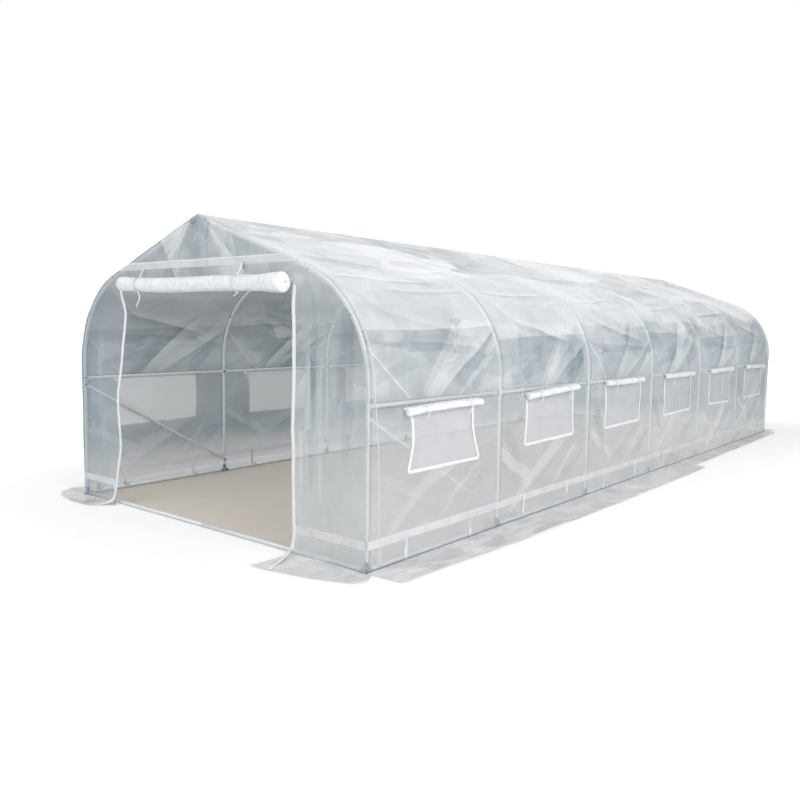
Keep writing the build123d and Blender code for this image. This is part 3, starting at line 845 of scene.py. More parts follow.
def outward_faces(obj):
    only(obj)
    bpy.ops.object.mode_set(mode="EDIT")
    bpy.ops.mesh.select_all(action="SELECT")
    bpy.ops.mesh.normals_make_consistent(inside=False)
    bpy.ops.object.mode_set(mode="OBJECT")


def unit(vectors):
    return vectors / np.linalg.norm(vectors, axis=-1, keepdims=True)


def frames_along(path, outward):
    """Directions along, across and out of a surface, at every point of a path on it."""
    along = unit(np.gradient(path, axis=0))
    across = unit(np.cross(outward, along))
    return across, unit(np.cross(along, across))


def cover_outward(side, s, y):
    """The direction out of the cover at places on it."""
    small = 0.012
    down = on_cover(side, s + small, y) - on_cover(side, s - small, y)
    back = on_cover(side, s, y + small) - on_cover(side, s, y - small)
    return unit(np.cross(down, back) * side)


def joined(name, objects):
    only(objects[0])
    for obj in objects:
        obj.select_set(True)
    bpy.ops.object.join()
    result = bpy.context.view_layer.objects.active
    result.name = result.data.name = name
    return result


def copied(obj, name, place):
    """A copy of a finished piece with its own mesh, moved by a matrix. A mirroring one keeps its faces outwards."""
    copy = obj.copy()
    copy.data = obj.data.copy()
    copy.name = copy.data.name = name
    copy.data.transform(place)
    if place.determinant() < 0:
        copy.data.flip_normals()
    bpy.context.scene.collection.objects.link(copy)
    return copy


# Camera, floor and light

PHOTO_SIZE = 800
CAMERA_AT = (4.2368, -7.1175, 1.3672)
CAMERA_TURN = radians(39.2116)
CAMERA_PITCH = radians(5.5636)
CAMERA_ROLL = radians(0.8011)
FOCAL_PIXELS = 776.47
SENSOR = 36.0


def make_camera():
    forward = Vector((-sin(CAMERA_TURN) * cos(CAMERA_PITCH), cos(CAMERA_TURN) * cos(CAMERA_PITCH), -sin(CAMERA_PITCH)))
    level = forward.cross(Vector((0, 0, 1))).normalized()
    over = level.cross(forward)
    right = level * cos(CAMERA_ROLL) + over * sin(CAMERA_ROLL)
    up = over * cos(CAMERA_ROLL) - level * sin(CAMERA_ROLL)
    lens = bpy.data.cameras.new("photo_view")
    lens.sensor_width = SENSOR
    lens.lens = FOCAL_PIXELS * SENSOR / PHOTO_SIZE
    camera = bpy.data.objects.new("photo_view", lens)
    rows = Matrix((right, up, -forward)).transposed().to_4x4()
    camera.matrix_world = Matrix.Translation(CAMERA_AT) @ rows
    bpy.context.scene.collection.objects.link(camera)
    bpy.context.scene.camera = camera


def light_paths(tree):
    """Whether a ray is the camera's own, has been through film, or is a mirror or glass ray."""
    path = tree.nodes.new("ShaderNodeLightPath")
    return [path.outputs[name] for name in ("Is Camera Ray", "Transparent Depth", "Is Glossy Ray", "Is Transmission Ray")]


class Backdrop(Finish):
    """A floor or a sky, which has the same node calls as a finish but no shader of its own."""

    def __init__(self, tree):
        self.tree = tree


LIGHT_LEVEL = 0.56
SURROUNDINGS = shade(84, 100, 106)
SURROUNDINGS_UP = shade(160, 175, 184)


def make_sky():
    world = bpy.data.worlds.new("studio")
    bpy.context.scene.world = world
    world.use_nodes = True
    sky = Backdrop(world.node_tree)
    camera, depth, mirror, glass = [Value(sky, socket) for socket in light_paths(sky.tree)]
    place = sky.node("ShaderNodeTexCoord", output="Generated")
    height = sky.axis(place, "Z")
    behind_film = sky.mixed(height.step(-0.02, 0.35), SURROUNDINGS, SURROUNDINGS_UP)
    drift = (sky.hills(place, 2.6, 3.0) - 0.5) * 0.24
    horizon = 0.12 + 0.25 * sky.axis(place, "X").step(-0.30, 0.35)
    open_sky = sky.mixed((height + drift - horizon).step(-0.10, 0.12), shade(124, 138, 143), (1, 1, 1, 1))
    seen = sky.mixed(depth.least(1.0), (1, 1, 1, 1), behind_film)
    shown = sky.mixed(mirror.most(glass), seen, open_sky)
    lit = sky.mixed(camera.most(mirror).most(glass), (LIGHT_LEVEL, LIGHT_LEVEL * 1.01, LIGHT_LEVEL * 1.03, 1), shown)
    background = sky.tree.nodes["Background"]
    sky.feed(background, {"Color": lit, "Strength": 1.0})


FLOOR_SIZE = 90.0


def make_floor():
    bpy.ops.object.select_all(action="DESELECT")
    bpy.ops.mesh.primitive_plane_add(size=FLOOR_SIZE)
    floor = bpy.context.active_object
    floor.name = "studio_floor"
    material = bpy.data.materials.new("pale_floor")
    material.use_nodes = True
    ground = Backdrop(material.node_tree)
    ground.tree.nodes.remove(ground.tree.nodes["Principled BSDF"])
    camera, depth, mirror, glass = [Value(ground, socket) for socket in light_paths(ground.tree)]
    place = ground.place()
    x, y = [ground.axis(place, letter).math("ABSOLUTE") for letter in "XY"]
    outside = (x - HALF_WIDTH).most(y - HALF_LENGTH)
    covered = 1 - outside.step(-0.015, 0.015)
    grain = ground.hills(place, 3.0, 5.0)
    open_colour = ground.mixed(grain, shade(248, 248, 247), shade(255, 255, 254))
    # painted shadow: the floor inside the tunnel's footprint is painted a darker warm grey, for the tunnel's shade
    painted_shade_inside = ground.mixed(grain, shade(220, 212, 201), shade(226, 219, 209))
    matt = ground.node("ShaderNodeBsdfDiffuse", values={"Color": ground.mixed(covered, open_colour, painted_shade_inside)})
    white = ground.node("ShaderNodeEmission", values={"Color": (1, 1, 1, 1), "Strength": 1.25})
    in_the_open = ground.node("ShaderNodeMixShader", values={0: 0.30 * (1 - covered) + 0.70 * outside.step(0.5, 3.0), 1: matt, 2: white})
    # painted shadow on the floor inside the tunnel, as it is seen through the film
    painted_shade_through_film = ground.node("ShaderNodeBsdfDiffuse", values={"Color": shade(213, 210, 206)})
    far = ground.node("ShaderNodeEmission", values={"Color": SURROUNDINGS, "Strength": 1.25})
    through_film = ground.node("ShaderNodeMixShader", values={0: outside.step(0.2, 2.5), 1: painted_shade_through_film, 2: far})
    reflection = ground.mixed(outside.step(3.0, 8.0), shade(214, 213, 209), shade(124, 138, 143))
    # painted shadow in what mirrors see of the floor inside the tunnel
    reflection = ground.mixed(covered, reflection, shade(96, 101, 102))
    mirrored = ground.node("ShaderNodeEmission", values={"Color": reflection, "Strength": 1.0})
    seen = ground.node("ShaderNodeMixShader", values={0: depth.least(1.0), 1: in_the_open, 2: through_film})
    reflected = ground.node("ShaderNodeMixShader", values={0: mirror, 1: matt, 2: mirrored})
    shown = ground.node("ShaderNodeMixShader", values={0: camera.most(glass), 1: reflected, 2: seen})
    ground.feed(ground.tree.nodes["Material Output"], {"Surface": shown})
    floor.data.materials.append(material)


def make_light(name, at, aim, size, watts, colour=(1, 1, 1)):
    """A soft lamp; what mirrors it sees only the sky, so that the film has no burnt-out patches."""
    lamp = bpy.data.lights.new(name, "AREA")
    lamp.size = size
    lamp.energy = watts
    lamp.color = colour
    holder = bpy.data.objects.new(name, lamp)
    holder.matrix_world = Matrix.Translation(at) @ (Vector(at) - Vector(aim)).to_track_quat("Z", "Y").to_matrix().to_4x4()
    holder.visible_glossy = False
    bpy.context.scene.collection.objects.link(holder)


make_camera()
make_sky()
make_floor()
make_light("side_light", (10.5, -5.0, 5.2), (0, 0, 0.6), 7.0, 700)
make_light("top_light", (-1.5, 2.0, 10.0), (0, 0, 0), 9.0, 165)
make_light("front_light", (-3.0, -11.0, 4.5), (0, -4, 1.0), 6.0, 220)
bpy.context.scene.view_settings.view_transform = "Standard"
bpy.context.scene.cycles.transparent_max_bounces = 40
bpy.context.scene.cycles.max_bounces = 3
bpy.context.scene.cycles.caustics_reflective = False
bpy.context.scene.cycles.diffuse_bounces = 2


# Cover


def half_cover(side, downs, backs):
    return on_cover(side, downs[None, :], backs[:, None])


def make_cover():
    """The one sheet from ground to ridge to ground, with its window openings cut out."""
    downs = lines(0.027, 0.0, 0.05, SLOPE, to_s(WINDOW_Z1), to_s(WINDOW_Z0), to_s(BAND_Z0), FOOT - GROUND)
    edges = [y + end * WINDOW_W / 2 for y in BAY_Y for end in (-1, 1)]
    backs = lines(0.0268, -END_Y, *sorted(HOOP_Y + edges), END_Y)
    right = half_cover(RIGHT, downs, backs)
    left = half_cover(LEFT, downs, backs)
    points = np.concatenate([left[:, :0:-1], right], axis=1)
    mid_s = (downs[1:] + downs[:-1]) / 2
    mid_y = (backs[1:] + backs[:-1]) / 2
    in_window = (mid_s > to_s(WINDOW_Z1)) & (mid_s < to_s(WINDOW_Z0))
    in_bay = np.min([np.abs(mid_y - y) for y in BAY_Y], axis=0) < WINDOW_W / 2
    open_here = in_bay[:, None] & np.concatenate([in_window[::-1], in_window])[None, :]
    along_film = np.concatenate([downs[:0:-1], downs])
    spots = np.stack(np.broadcast_arrays(along_film[None, :], backs[:, None]), axis=-1)
    cover = cloth("cover_film", points, out_of_tunnel, ~open_here, spots)
    nodes = [f"{part}_film_{name}" for part in ("roof", "shoulder", "side") for name in ("right", "left")]
    return kept(cover, FILM, "clear_film", *nodes)


SIDE_NAMES = {RIGHT: "right", LEFT: "left"}


def cover_tape(name, side, downs, backs, width, thick, lift):
    """A tape that follows the cover along a line of places on it."""
    middle = on_cover(side, downs, backs, lift)
    across, outward = frames_along(middle, cover_outward(side, downs, backs))
    return tape(name, middle, across, outward, width, thick)


def cover_band(name, side, downs, backs, lift):
    """A strip of film welded on, over a grid of places on the cover."""
    return cloth(name, on_cover(side, downs[None, :], backs[:, None], lift), out_of_tunnel)


def make_window(side, bay):
    """One window's netting and the woven edging down its sides and along its foot."""
    tag = f"{SIDE_NAMES[side]}_{bay + 1}"
    middle = BAY_Y[bay]
    low, high = middle - WINDOW_W / 2, middle + WINDOW_W / 2
    downs = lines(0.021, to_s(WINDOW_Z1), to_s(WINDOW_Z0))
    backs = lines(0.020, low, high)
    slack = np.sin(pi * (downs - downs[0]) / (downs[-1] - downs[0]))[None, :]
    ripple = slack * (0.004 * hills(backs[:, None] * 7, downs[None, :] * 4, 300 + bay) - 0.002)
    points = on_cover(side, downs[None, :], backs[:, None], -0.0008 + ripple)
    netting = cloth(f"window_netting_{tag}", points, out_of_tunnel)
    kept(netting, NETTING, "insect_mesh", f"window_mesh_{SIDE_NAMES[side]}")
    corner = 0.012
    path = [(to_s(WINDOW_Z1), low), (to_s(WINDOW_Z0) - corner, low), (to_s(WINDOW_Z0), low + corner),
            (to_s(WINDOW_Z0), high - corner), (to_s(WINDOW_Z0) - corner, high), (to_s(WINDOW_Z1), high)]
    downs, backs = along_path(path, 0.018)
    edging = cover_tape(f"window_edging_{tag}", side, downs, backs, 0.022, 0.0022, 0.0014)
    kept(edging, BINDING, "white_binding", f"window_binding_{SIDE_NAMES[side]}")
    return netting, edging


def along_path(path, step):
    """Places at even steps along a path's straight runs."""
    firsts, seconds = [], []
    for (a0, b0), (a1, b1) in zip(path, path[1:]):
        count = max(1, round(hypot(a1 - a0, b1 - b0) / step))
        shares = np.arange(count) / count
        firsts.append(a0 + (a1 - a0) * shares)
        seconds.append(b0 + (b1 - b0) * shares)
    return np.append(np.concatenate(firsts), path[-1][0]), np.append(np.concatenate(seconds), path[-1][1])


def coil_section(radius, core, turns, points_a_turn=22):
    """A loose roll seen from its end, wound from the middle outwards to where it leaves up the wall.

    Given as (outward, up) from the roll's middle; the wall is on the side where outward is negative."""
    count = round(turns * points_a_turn)
    share = np.linspace(0, 1, count + 1)
    angle = pi + 2 * pi * turns * (1 - share)
    size = core + (radius - core) * share
    return np.stack([size * np.cos(angle), size * np.sin(angle)], axis=-1)


def rolled_sheet(name, stations, at, outward, radius, core, turns, seed, tail, tied=(), flare=0.0):
    """Film rolled up along a line of stations; at gives its middle, tail how far it runs on up the wall.

    flare says how much looser, and so thicker, it is at its last end."""
    section = coil_section(radius, core, turns)
    closing = radius * 0.42
    near_end = closing * np.array((0.0, 0.06, 0.2, 0.5, 1.0))
    inner = stations[(stations > stations[0] + closing * 1.3) & (stations < stations[-1] - closing * 1.3)]
    stations = np.concatenate([stations[0] + near_end, inner, stations[-1] - near_end[::-1]])
    rows = []
    for station in stations:
        pinch = 1 - sum(0.16 * np.exp(-(((station - t) / 0.022) ** 2)) for t in tied)
        angle = np.arctan2(section[:, 1], section[:, 0])
        lumps = 1 + 0.045 * hills(station * 9 + np.cos(angle), np.sin(angle) * 1.5, seed)
        lumps = lumps + 0.022 * facets(station * 26 + np.cos(angle) * 2, np.sin(angle) * 3, seed + 1)
        from_end = min(station - stations[0], stations[-1] - station, closing) / closing
        closed = 0.22 + 0.78 * sqrt(1 - (1 - from_end) ** 2)
        loose = 1 + flare * smooth(stations[-1] - 0.26, stations[-1] - 0.02, station)
        turn = section * (np.minimum(lumps, 1.035) * pinch * closed * loose)[:, None]
        turn[:, 0] = np.maximum(turn[:, 0], -radius)
        ends = np.array([(-radius, rise) for rise in np.linspace(0, tail, 4)[1:]])
        turn = np.concatenate([turn, ends])
        middle = at(station)
        rows.append(middle + turn[:, :1] * outward + turn[:, 1:] * np.array((0, 0, 1.0)))
    points = np.stack(rows)
    centre = np.stack([at(station) for station in stations])

    def away(places):
        nearest = np.abs(places[:, None, :] - centre[None, ::8, :]).sum(axis=-1).argmin(axis=1)
        return places - centre[::8][nearest]

    return cloth(name, points, away)


def ring_tape(name, middle, along, outward, radius, width, thick, start=-pi / 2, stop=pi / 2, steps=14):
    """A narrow tape round part of a roll, between two angles up from the outward direction."""
    angles = np.linspace(start, stop, steps)
    up = np.array((0, 0, 1.0))
    path = middle + radius * (np.cos(angles)[:, None] * outward + np.sin(angles)[:, None] * up)
    facing = np.cos(angles)[:, None] * outward + np.sin(angles)[:, None] * up
    return tape(name, path, np.broadcast_to(along, path.shape), facing, width, thick)


FLAP_TURNS = 4.0
FLAP_CORE = 0.006
FLAP_HALF = 0.388


def make_window_roll(side, bay):
    """A window's flap, rolled up and tied over the top of its opening."""
    tag = f"{SIDE_NAMES[side]}_{bay + 1}"
    middle = BAY_Y[bay]
    outward = np.array((float(side), 0, 0))
    rng = random.Random(500 + bay + 50 * (side == LEFT))
    droop = [rng.uniform(-0.006, 0.006) for _ in range(3)]
    reach = [FLAP_HALF - rng.uniform(0, 0.012) for _ in range(2)]
    ties = [middle - 0.21 + rng.uniform(-0.03, 0.03), middle + 0.21 + rng.uniform(-0.03, 0.03)]

    def at(y):
        share = (y - middle) / FLAP_HALF
        corners = WINDOW_SHIFTS[side, bay][2:]
        across = (corners[0][0] + corners[1][0]) / 2
        lower = corners[0][1] * (1 - share) / 2 + corners[1][1] * (1 + share) / 2
        sag = droop[0] * share + droop[1] * (1 - share * share) - 0.003
        return np.array((side * (WALL_X + 0.0010 + FLAP_ROLL_R), y + across, WINDOW_Z1 + lower + sag))

    stations = lines(0.022, middle - reach[0], middle + reach[1])
    roll = rolled_sheet(f"window_roll_{tag}", stations, at, outward, FLAP_ROLL_R, FLAP_CORE, FLAP_TURNS,
                        600 + bay, 0.024, ties)
    kept(roll, ROLLED, "rolled_film", f"window_flap_rolls_{SIDE_NAMES[side]}")
    loops = []
    for k, y in enumerate(ties):
        loop = ring_tape("loop", at(y), np.array((0, 1.0, 0)), outward, FLAP_ROLL_R * 0.90, 0.012, 0.0012,
                         -pi * 0.72, pi * 0.72, 18)
        hang = rng.uniform(0.02, 0.07)
        start = at(y) + outward * (FLAP_ROLL_R * 0.62) + np.array((0, 0.004, -FLAP_ROLL_R * 0.68))
        drop = np.linspace(0, 1, 9)
        path = start + np.stack([side * 0.004 * np.sin(drop * 3), 0.012 * np.sin(drop * 4 + k), -hang * drop], axis=-1)
        end = tape("end", path, np.broadcast_to((0, 1.0, 0), path.shape), np.broadcast_to(outward, path.shape),
                   0.010, 0.0010)
        loops += [loop, end]
    tie = joined(f"window_ties_{tag}", loops)
    kept(tie, WEBBING, "white_webbing")
    return roll


# Ends


def end_top(x, offset=FILM_LIFT):
    """The height of the hoop's outline, offset outwards, over a place across the tunnel."""
    x = np.abs(np.asarray(x, float))
    bend = BEND_RADIUS + offset
    slope = APEX_Z + offset / cos(PITCH) - x * tan(PITCH)
    arc = EAVE + np.sqrt(np.maximum(bend * bend - (x - BEND_X) ** 2, 0))
    return np.where(x < BEND_X + bend * sin(PITCH), slope, arc)


def to_outline(x, z):
    """How far inside the hoop's outline a place on an end is."""
    x = np.abs(np.asarray(x, float))
    on_side = HALF_WIDTH + FILM_LIFT - x
    on_slope = (APEX_Z + FILM_LIFT / cos(PITCH) - x * tan(PITCH) - z) * cos(PITCH)
    on_bend = BEND_RADIUS + FILM_LIFT - np.hypot(x - BEND_X, z - EAVE)
    inside = np.minimum(on_side, on_slope)
    return np.where((z > EAVE) & (x > BEND_X), np.minimum(inside, on_bend), inside)


FRONT = -1
BACK = 1


def end_folds(end, x, z):
    """How far an end's film stands out from flat: folds that fan from the apex, and slack at the door."""
    edge = smooth(0.0, 0.12, to_outline(x, z))
    seed = 800 if end == FRONT else 850
    beside = np.exp(-np.maximum(np.abs(x) - DOOR_HALF, 0) / 0.22) * (1 - smooth(1.35, 1.62, z))
    top_angle = np.arctan2(x, np.maximum(APEX_Z + 0.05 - z, 0.01))
    reach = np.hypot(x, APEX_Z - z)
    fan = smooth(1.55, 1.72, z) * np.exp(-reach / 0.8)
    down_folds = hills(x * 9 + 0.7 * np.sin(z * 2.1), z * 0.9, seed) * 0.007
    crumple = 0.009 * facets(x * 3.1 + z, z * 2.4 - x, seed + 1) + 0.004 * facets(x * 7 - z * 3, z * 6 + x, seed + 2)
    slack = beside * (0.010 * hills(np.sign(x) * 3.7, z * 2.2, seed + 3) + 0.006 * hills(x * 4, z * 5.1, seed + 4))
    spread = 0.0045 * fan * np.sin(top_angle * 17 + 2 * np.sin(top_angle * 5))
    roll_calm = 1 - 0.8 * np.exp(-(((z - DOOR_ROLL_Z) / 0.07) ** 2)) * (np.abs(x) < 1.0)
    return edge * roll_calm * (down_folds + crumple + slack + spread + 0.0015)


def door_edge_shift(end, side, z):
    """How far the doorway's edge wanders sideways from straight, outwards from the middle of the tunnel."""
    z = np.asarray(z, float)
    if end == FRONT and side == LEFT:
        return -0.066 + 0.046 * smooth(1.45, 1.15, z) + 0.070 * smooth(1.45, 0.65, z) + 0.045 * smooth(0.5, 0.05, z) + 0.010 * np.sin(z * 9.5)
    return 0.004 * np.sin(z * 6.3 + side) + 0.006 * smooth(0.4, 0.0, z)


def on_end(end, x, z, lift=0.0):
    """Points of an end's film, lifted off it outwards."""
    x, z = np.broadcast_arrays(np.asarray(x, float), np.asarray(z, float))
    side_shift = np.where(x > 0, door_edge_shift(end, RIGHT, z), door_edge_shift(end, LEFT, z))
    reach = np.exp(-np.maximum(np.abs(x) - DOOR_HALF, 0) / 0.16) * (1 - smooth(1.40, 1.60, z))
    shifted = x + np.sign(x) * side_shift * reach * (np.abs(x) > DOOR_HALF - 0.001)
    kick = 0.030 * smooth(0.16, 0.0, z) ** 1.5 * np.exp(-np.maximum(np.abs(x) - DOOR_HALF, 0) / 0.30)
    y = end * (END_Y + end_folds(end, x, z) + kick + lift)
    return np.stack([shifted, y, np.maximum(z, GROUND)], axis=-1)


def make_end_film(end):
    """The film of an end: a panel on each side of the doorway and the gable over it, in one sheet."""
    turn = np.linspace(0, pi / 2, 15)[1:]
    outer = BEND_X + FILM_BEND * np.sin(turn)
    half = np.concatenate([np.linspace(0, DOOR_HALF, 37), np.linspace(DOOR_HALF, BEND_X + FILM_BEND * sin(pi / 14), 5)[1:]])
    half = np.concatenate([half, outer[outer > half[-1] + 0.008]])
    across = np.concatenate([-half[:0:-1], half])
    top = end_top(across)
    split = np.where(np.abs(across) <= DOOR_HALF + 1e-6, DOOR_TOP, top * DOOR_TOP / end_top(DOOR_HALF))
    below = np.linspace(0, 1, 66)[:, None]
    above = np.linspace(0, 1, 19)[1:, None]
    heights = np.concatenate([GROUND + (split - GROUND) * below, split + (top - split) * above])
    points = on_end(end, np.broadcast_to(across, heights.shape), heights)
    middle = np.abs((across[1:] + across[:-1]) / 2)
    keep = np.ones((heights.shape[0] - 1, len(across) - 1), bool)
    keep[:65, :] = middle > DOOR_HALF
    name = "front" if end == FRONT else "back"
    sheet = cloth(f"{name}_end_film", points, facing_end(end), keep)
    return kept(sheet, END_FILM, "clear_film", *[f"{name}_{part}" for part in ("film_right", "film_left", "gable_film")])


def end_tape(name, end, xs, zs, width, thick, lift):
    """A tape that follows an end's film along a line of places on it."""
    middle = on_end(end, xs, zs, lift)
    across, outward = frames_along(middle, np.broadcast_to((0, float(end), 0), middle.shape))
    return tape(name, middle, across, outward, width, thick)


def make_end_bands(end):
    """The band round the foot of an end's panels and the one across its gable."""
    name = "front" if end == FRONT else "back"
    pieces = []
    for side in (RIGHT, LEFT):
        xs = side * lines(0.03, DOOR_HALF + 0.004, WALL_X - 0.002)
        zs = lines(0.0167, BAND_Z0, BAND_Z1)
        points = on_end(end, xs[None, :], zs[:, None], 0.0014)
        band = cloth(f"{name}_foot_band_{SIDE_NAMES[side]}", points, facing_end(end))
        pieces.append(kept(band, BAND, "band_tape", "ground_bands"))
    shares = np.linspace(-1, 1, 81)
    zs = lines(0.0167, GABLE_BAND_Z0, GABLE_BAND_Z1)
    reach = (APEX_Z + FILM_LIFT / cos(PITCH) - zs) / tan(PITCH) - 0.004
    xs = shares[None, :] * reach[:, None]
    band = cloth(f"{name}_gable_band", on_end(end, xs, zs[:, None], 0.0014), facing_end(end))
    pieces.append(kept(band, BAND, "band_tape", "gable_bands"))
    zs = lines(0.004, GABLE_BAND_Z1 - 0.008, GABLE_BAND_Z1)
    reach = (APEX_Z + FILM_LIFT / cos(PITCH) - zs) / tan(PITCH) - 0.004
    hem = cloth(f"{name}_gable_hem", on_end(end, shares[None, :] * reach[:, None], zs[:, None], 0.0024), facing_end(end))
    pieces.append(kept(hem, BINDING, "white_binding"))
    return pieces


# The ground flaps: each is a sheet between its inner line at the cover's foot and its outer edge


def flap_height(u, v, seed, reach):
    """How high a flap lies off the ground: low folds, a soft rise at the cover's foot, edges that lift a little."""
    folds = 0.0065 * (facets(u * 5.2, v * 3.1, seed) + 1) * 0.6 + 0.003 * (facets(u * 13 + v, v * 7, seed + 1) + 1) * 0.5
    lip = 0.006 * smooth(0.80, 1.0, reach) * (hills(u * 4.1, 3.3, seed + 2) + 0.6)
    foot = 0.010 * smooth(0.16, 0.0, reach)
    return 0.0012 + np.maximum(folds * smooth(0.0, 0.25, reach) * 0.9 + lip + foot, 0)


def flap(name, inner, outer, seed, node, rows=13):
    """A ground flap between two lines of (x, y) points of equal number."""
    share = np.linspace(0, 1, rows)[:, None, None]
    plan = inner[None] * (1 - share) + outer[None] * share
    x, y = plan[..., 0], plan[..., 1]
    along = np.concatenate([[0], np.cumsum(np.hypot(*np.diff(inner, axis=0).T))])
    z = flap_height(np.broadcast_to(along[None, :], x.shape), x * 0.7 + y * 0.3, seed, share[..., 0])
    sheet = cloth(name, np.stack([x, y, z], axis=-1), facing_up)
    kept(sheet, FLAP_FILM, "clear_film", node)
    return sheet


def through(points, places):
    """A line through (place, value) points, read off at the given places."""
    known, values = zip(*points)
    return np.interp(places, known, values)


SIDE_FLAP_EDGE = [(-4.022, 1.742), (-3.60, 1.750), (-2.90, 1.782), (-1.80, 1.800), (0.02, 1.806),
                  (0.66, 1.802), (0.70, 1.690), (1.6, 1.672), (4.022, 1.640)]


def make_side_flap(side):
    ys = lines(0.026, -HALF_LENGTH - 0.014, 0.66, 0.70, HALF_LENGTH + 0.014)
    inner = np.stack([np.full_like(ys, side * (WALL_X - 0.0005)), ys], axis=-1)
    wander = 0.006 * hills(ys * 1.7, 0.5, 900 + side) + 0.003 * hills(ys * 6.0, 1.5, 902 + side)
    ends = smooth(0.0, 0.03, HALF_LENGTH + 0.014 - np.abs(ys))
    outer_x = through(SIDE_FLAP_EDGE, ys) + wander - 0.020 * (1 - ends)
    outer = np.stack([side * outer_x, ys * 1.0], axis=-1)
    name = SIDE_NAMES[side]
    return flap(f"side_flap_{name}", inner, outer, 910 + side, f"ground_flap_{name}")


END_FLAP_RIGHT = [(0.905, -0.350), (1.019, -0.335), (1.321, -0.276), (1.543, -0.194), (1.585, -0.112), (1.530, -0.016)]
END_FLAP_LEFT = [(0.957, -0.060), (1.099, -0.206), (1.330, -0.215), (1.560, -0.170), (1.689, -0.099), (1.760, 0.040)]


def make_end_flap(end, side):
    """A flap beside a doorway; it reaches further out at the doorway than at the corner."""
    share = lines(0.02, 0.0, 1.0)
    inner_x = DOOR_HALF + 0.006 + (WALL_X + 0.010 - DOOR_HALF) * share
    if side == LEFT and end == FRONT:
        inner_x = inner_x + 0.10 * (1 - share)
    inner_y = np.full_like(share, -HALF_LENGTH - FILM_LIFT) - 0.030 * np.exp(-(inner_x - DOOR_HALF) / 0.30) + 0.002
    edge = END_FLAP_LEFT if side == LEFT and end == FRONT else END_FLAP_RIGHT
    marks = np.linspace(0, 1, len(edge))
    outer_x = np.interp(share, marks, [x for x, _ in edge])
    outer_y = np.interp(share, marks, [y for _, y in edge]) - HALF_LENGTH
    inner = np.stack([side * inner_x, -end * inner_y], axis=-1)
    outer = np.stack([side * outer_x, -end * outer_y], axis=-1)
    names = ("front", "back")[end == BACK], SIDE_NAMES[side]
    return flap(f"{names[0]}_flap_{names[1]}", inner, outer, 930 + end * 3 + side, f"ground_flaps_{names[0]}")


def make_edging(end, side):
    """The woven edging of a doorway: down the panel's edge, then out along the flap's edge on the ground."""
    zs = np.linspace(1.588, 0.045, 76)
    down = on_end(end, np.full_like(zs, side * (DOOR_HALF + 0.0005)), zs)
    tip_x = 1.019 if (end, side) != (FRONT, LEFT) else 1.070
    tip_y = 0.325 if (end, side) != (FRONT, LEFT) else 0.165
    foot = down[-1]
    turn = np.linspace(0, 1, 16)[1:, None]
    corner = np.array((foot[0], foot[1], 0.004)) + np.array((0, end * 0.02, 0))
    tip = np.array((side * tip_x, end * (HALF_LENGTH + tip_y), 0.007))
    curve = foot * (1 - turn) ** 2 + corner * 2 * turn * (1 - turn) + tip * turn**2
    path = np.concatenate([down, curve])
    facing = np.broadcast_to((0, float(end), 0), path.shape).copy()
    lean = np.concatenate([np.zeros(len(down)), np.linspace(0, 1, 15)])[:, None]
    facing = unit(facing * (1 - lean) + np.array((0, 0, 1.0)) * lean)
    across, outward = frames_along(path, facing)
    inward = across * (np.sign(np.sum(across * np.array((side, 0, 0)), axis=-1, keepdims=True)) + 1e-9)
    name = ("front", "back")[end == BACK]
    edging = tape(f"{name}_edging_{SIDE_NAMES[side]}", path + inward * 0.012 + outward * 0.0006, across, outward, 0.028, 0.0030)
    return kept(edging, BINDING, "white_binding", "doorway_bindings")


def make_side_trim():
    """The foot bands along the sides and the welded seams just inside both ends."""
    pieces = []
    downs = lines(0.0167, to_s(BAND_Z1), to_s(BAND_Z0))
    backs = lines(0.03, -END_Y, END_Y)
    for side in (RIGHT, LEFT):
        band = cover_band(f"foot_band_{SIDE_NAMES[side]}", side, downs, backs, 0.0014)
        pieces.append(kept(band, BAND, "band_tape", "ground_bands"))
    for end in (FRONT, BACK):
        for side in (RIGHT, LEFT):
            s = lines(0.03, 0.02, FOOT - 0.004)
            low = smooth(1.45, 2.9, s)
            y = end * (HALF_LENGTH - 0.026 - 0.068 * low - 0.006 * low * np.sin(s * 9.0))
            seam = cover_tape(f"corner_seam_{('front', 'back')[end == BACK]}_{SIDE_NAMES[side]}", side, s, y, 0.006, 0.0012, 0.0007)
            pieces.append(kept(seam, BAND, "band_tape"))
    return pieces


DOOR_TURNS = 8.5


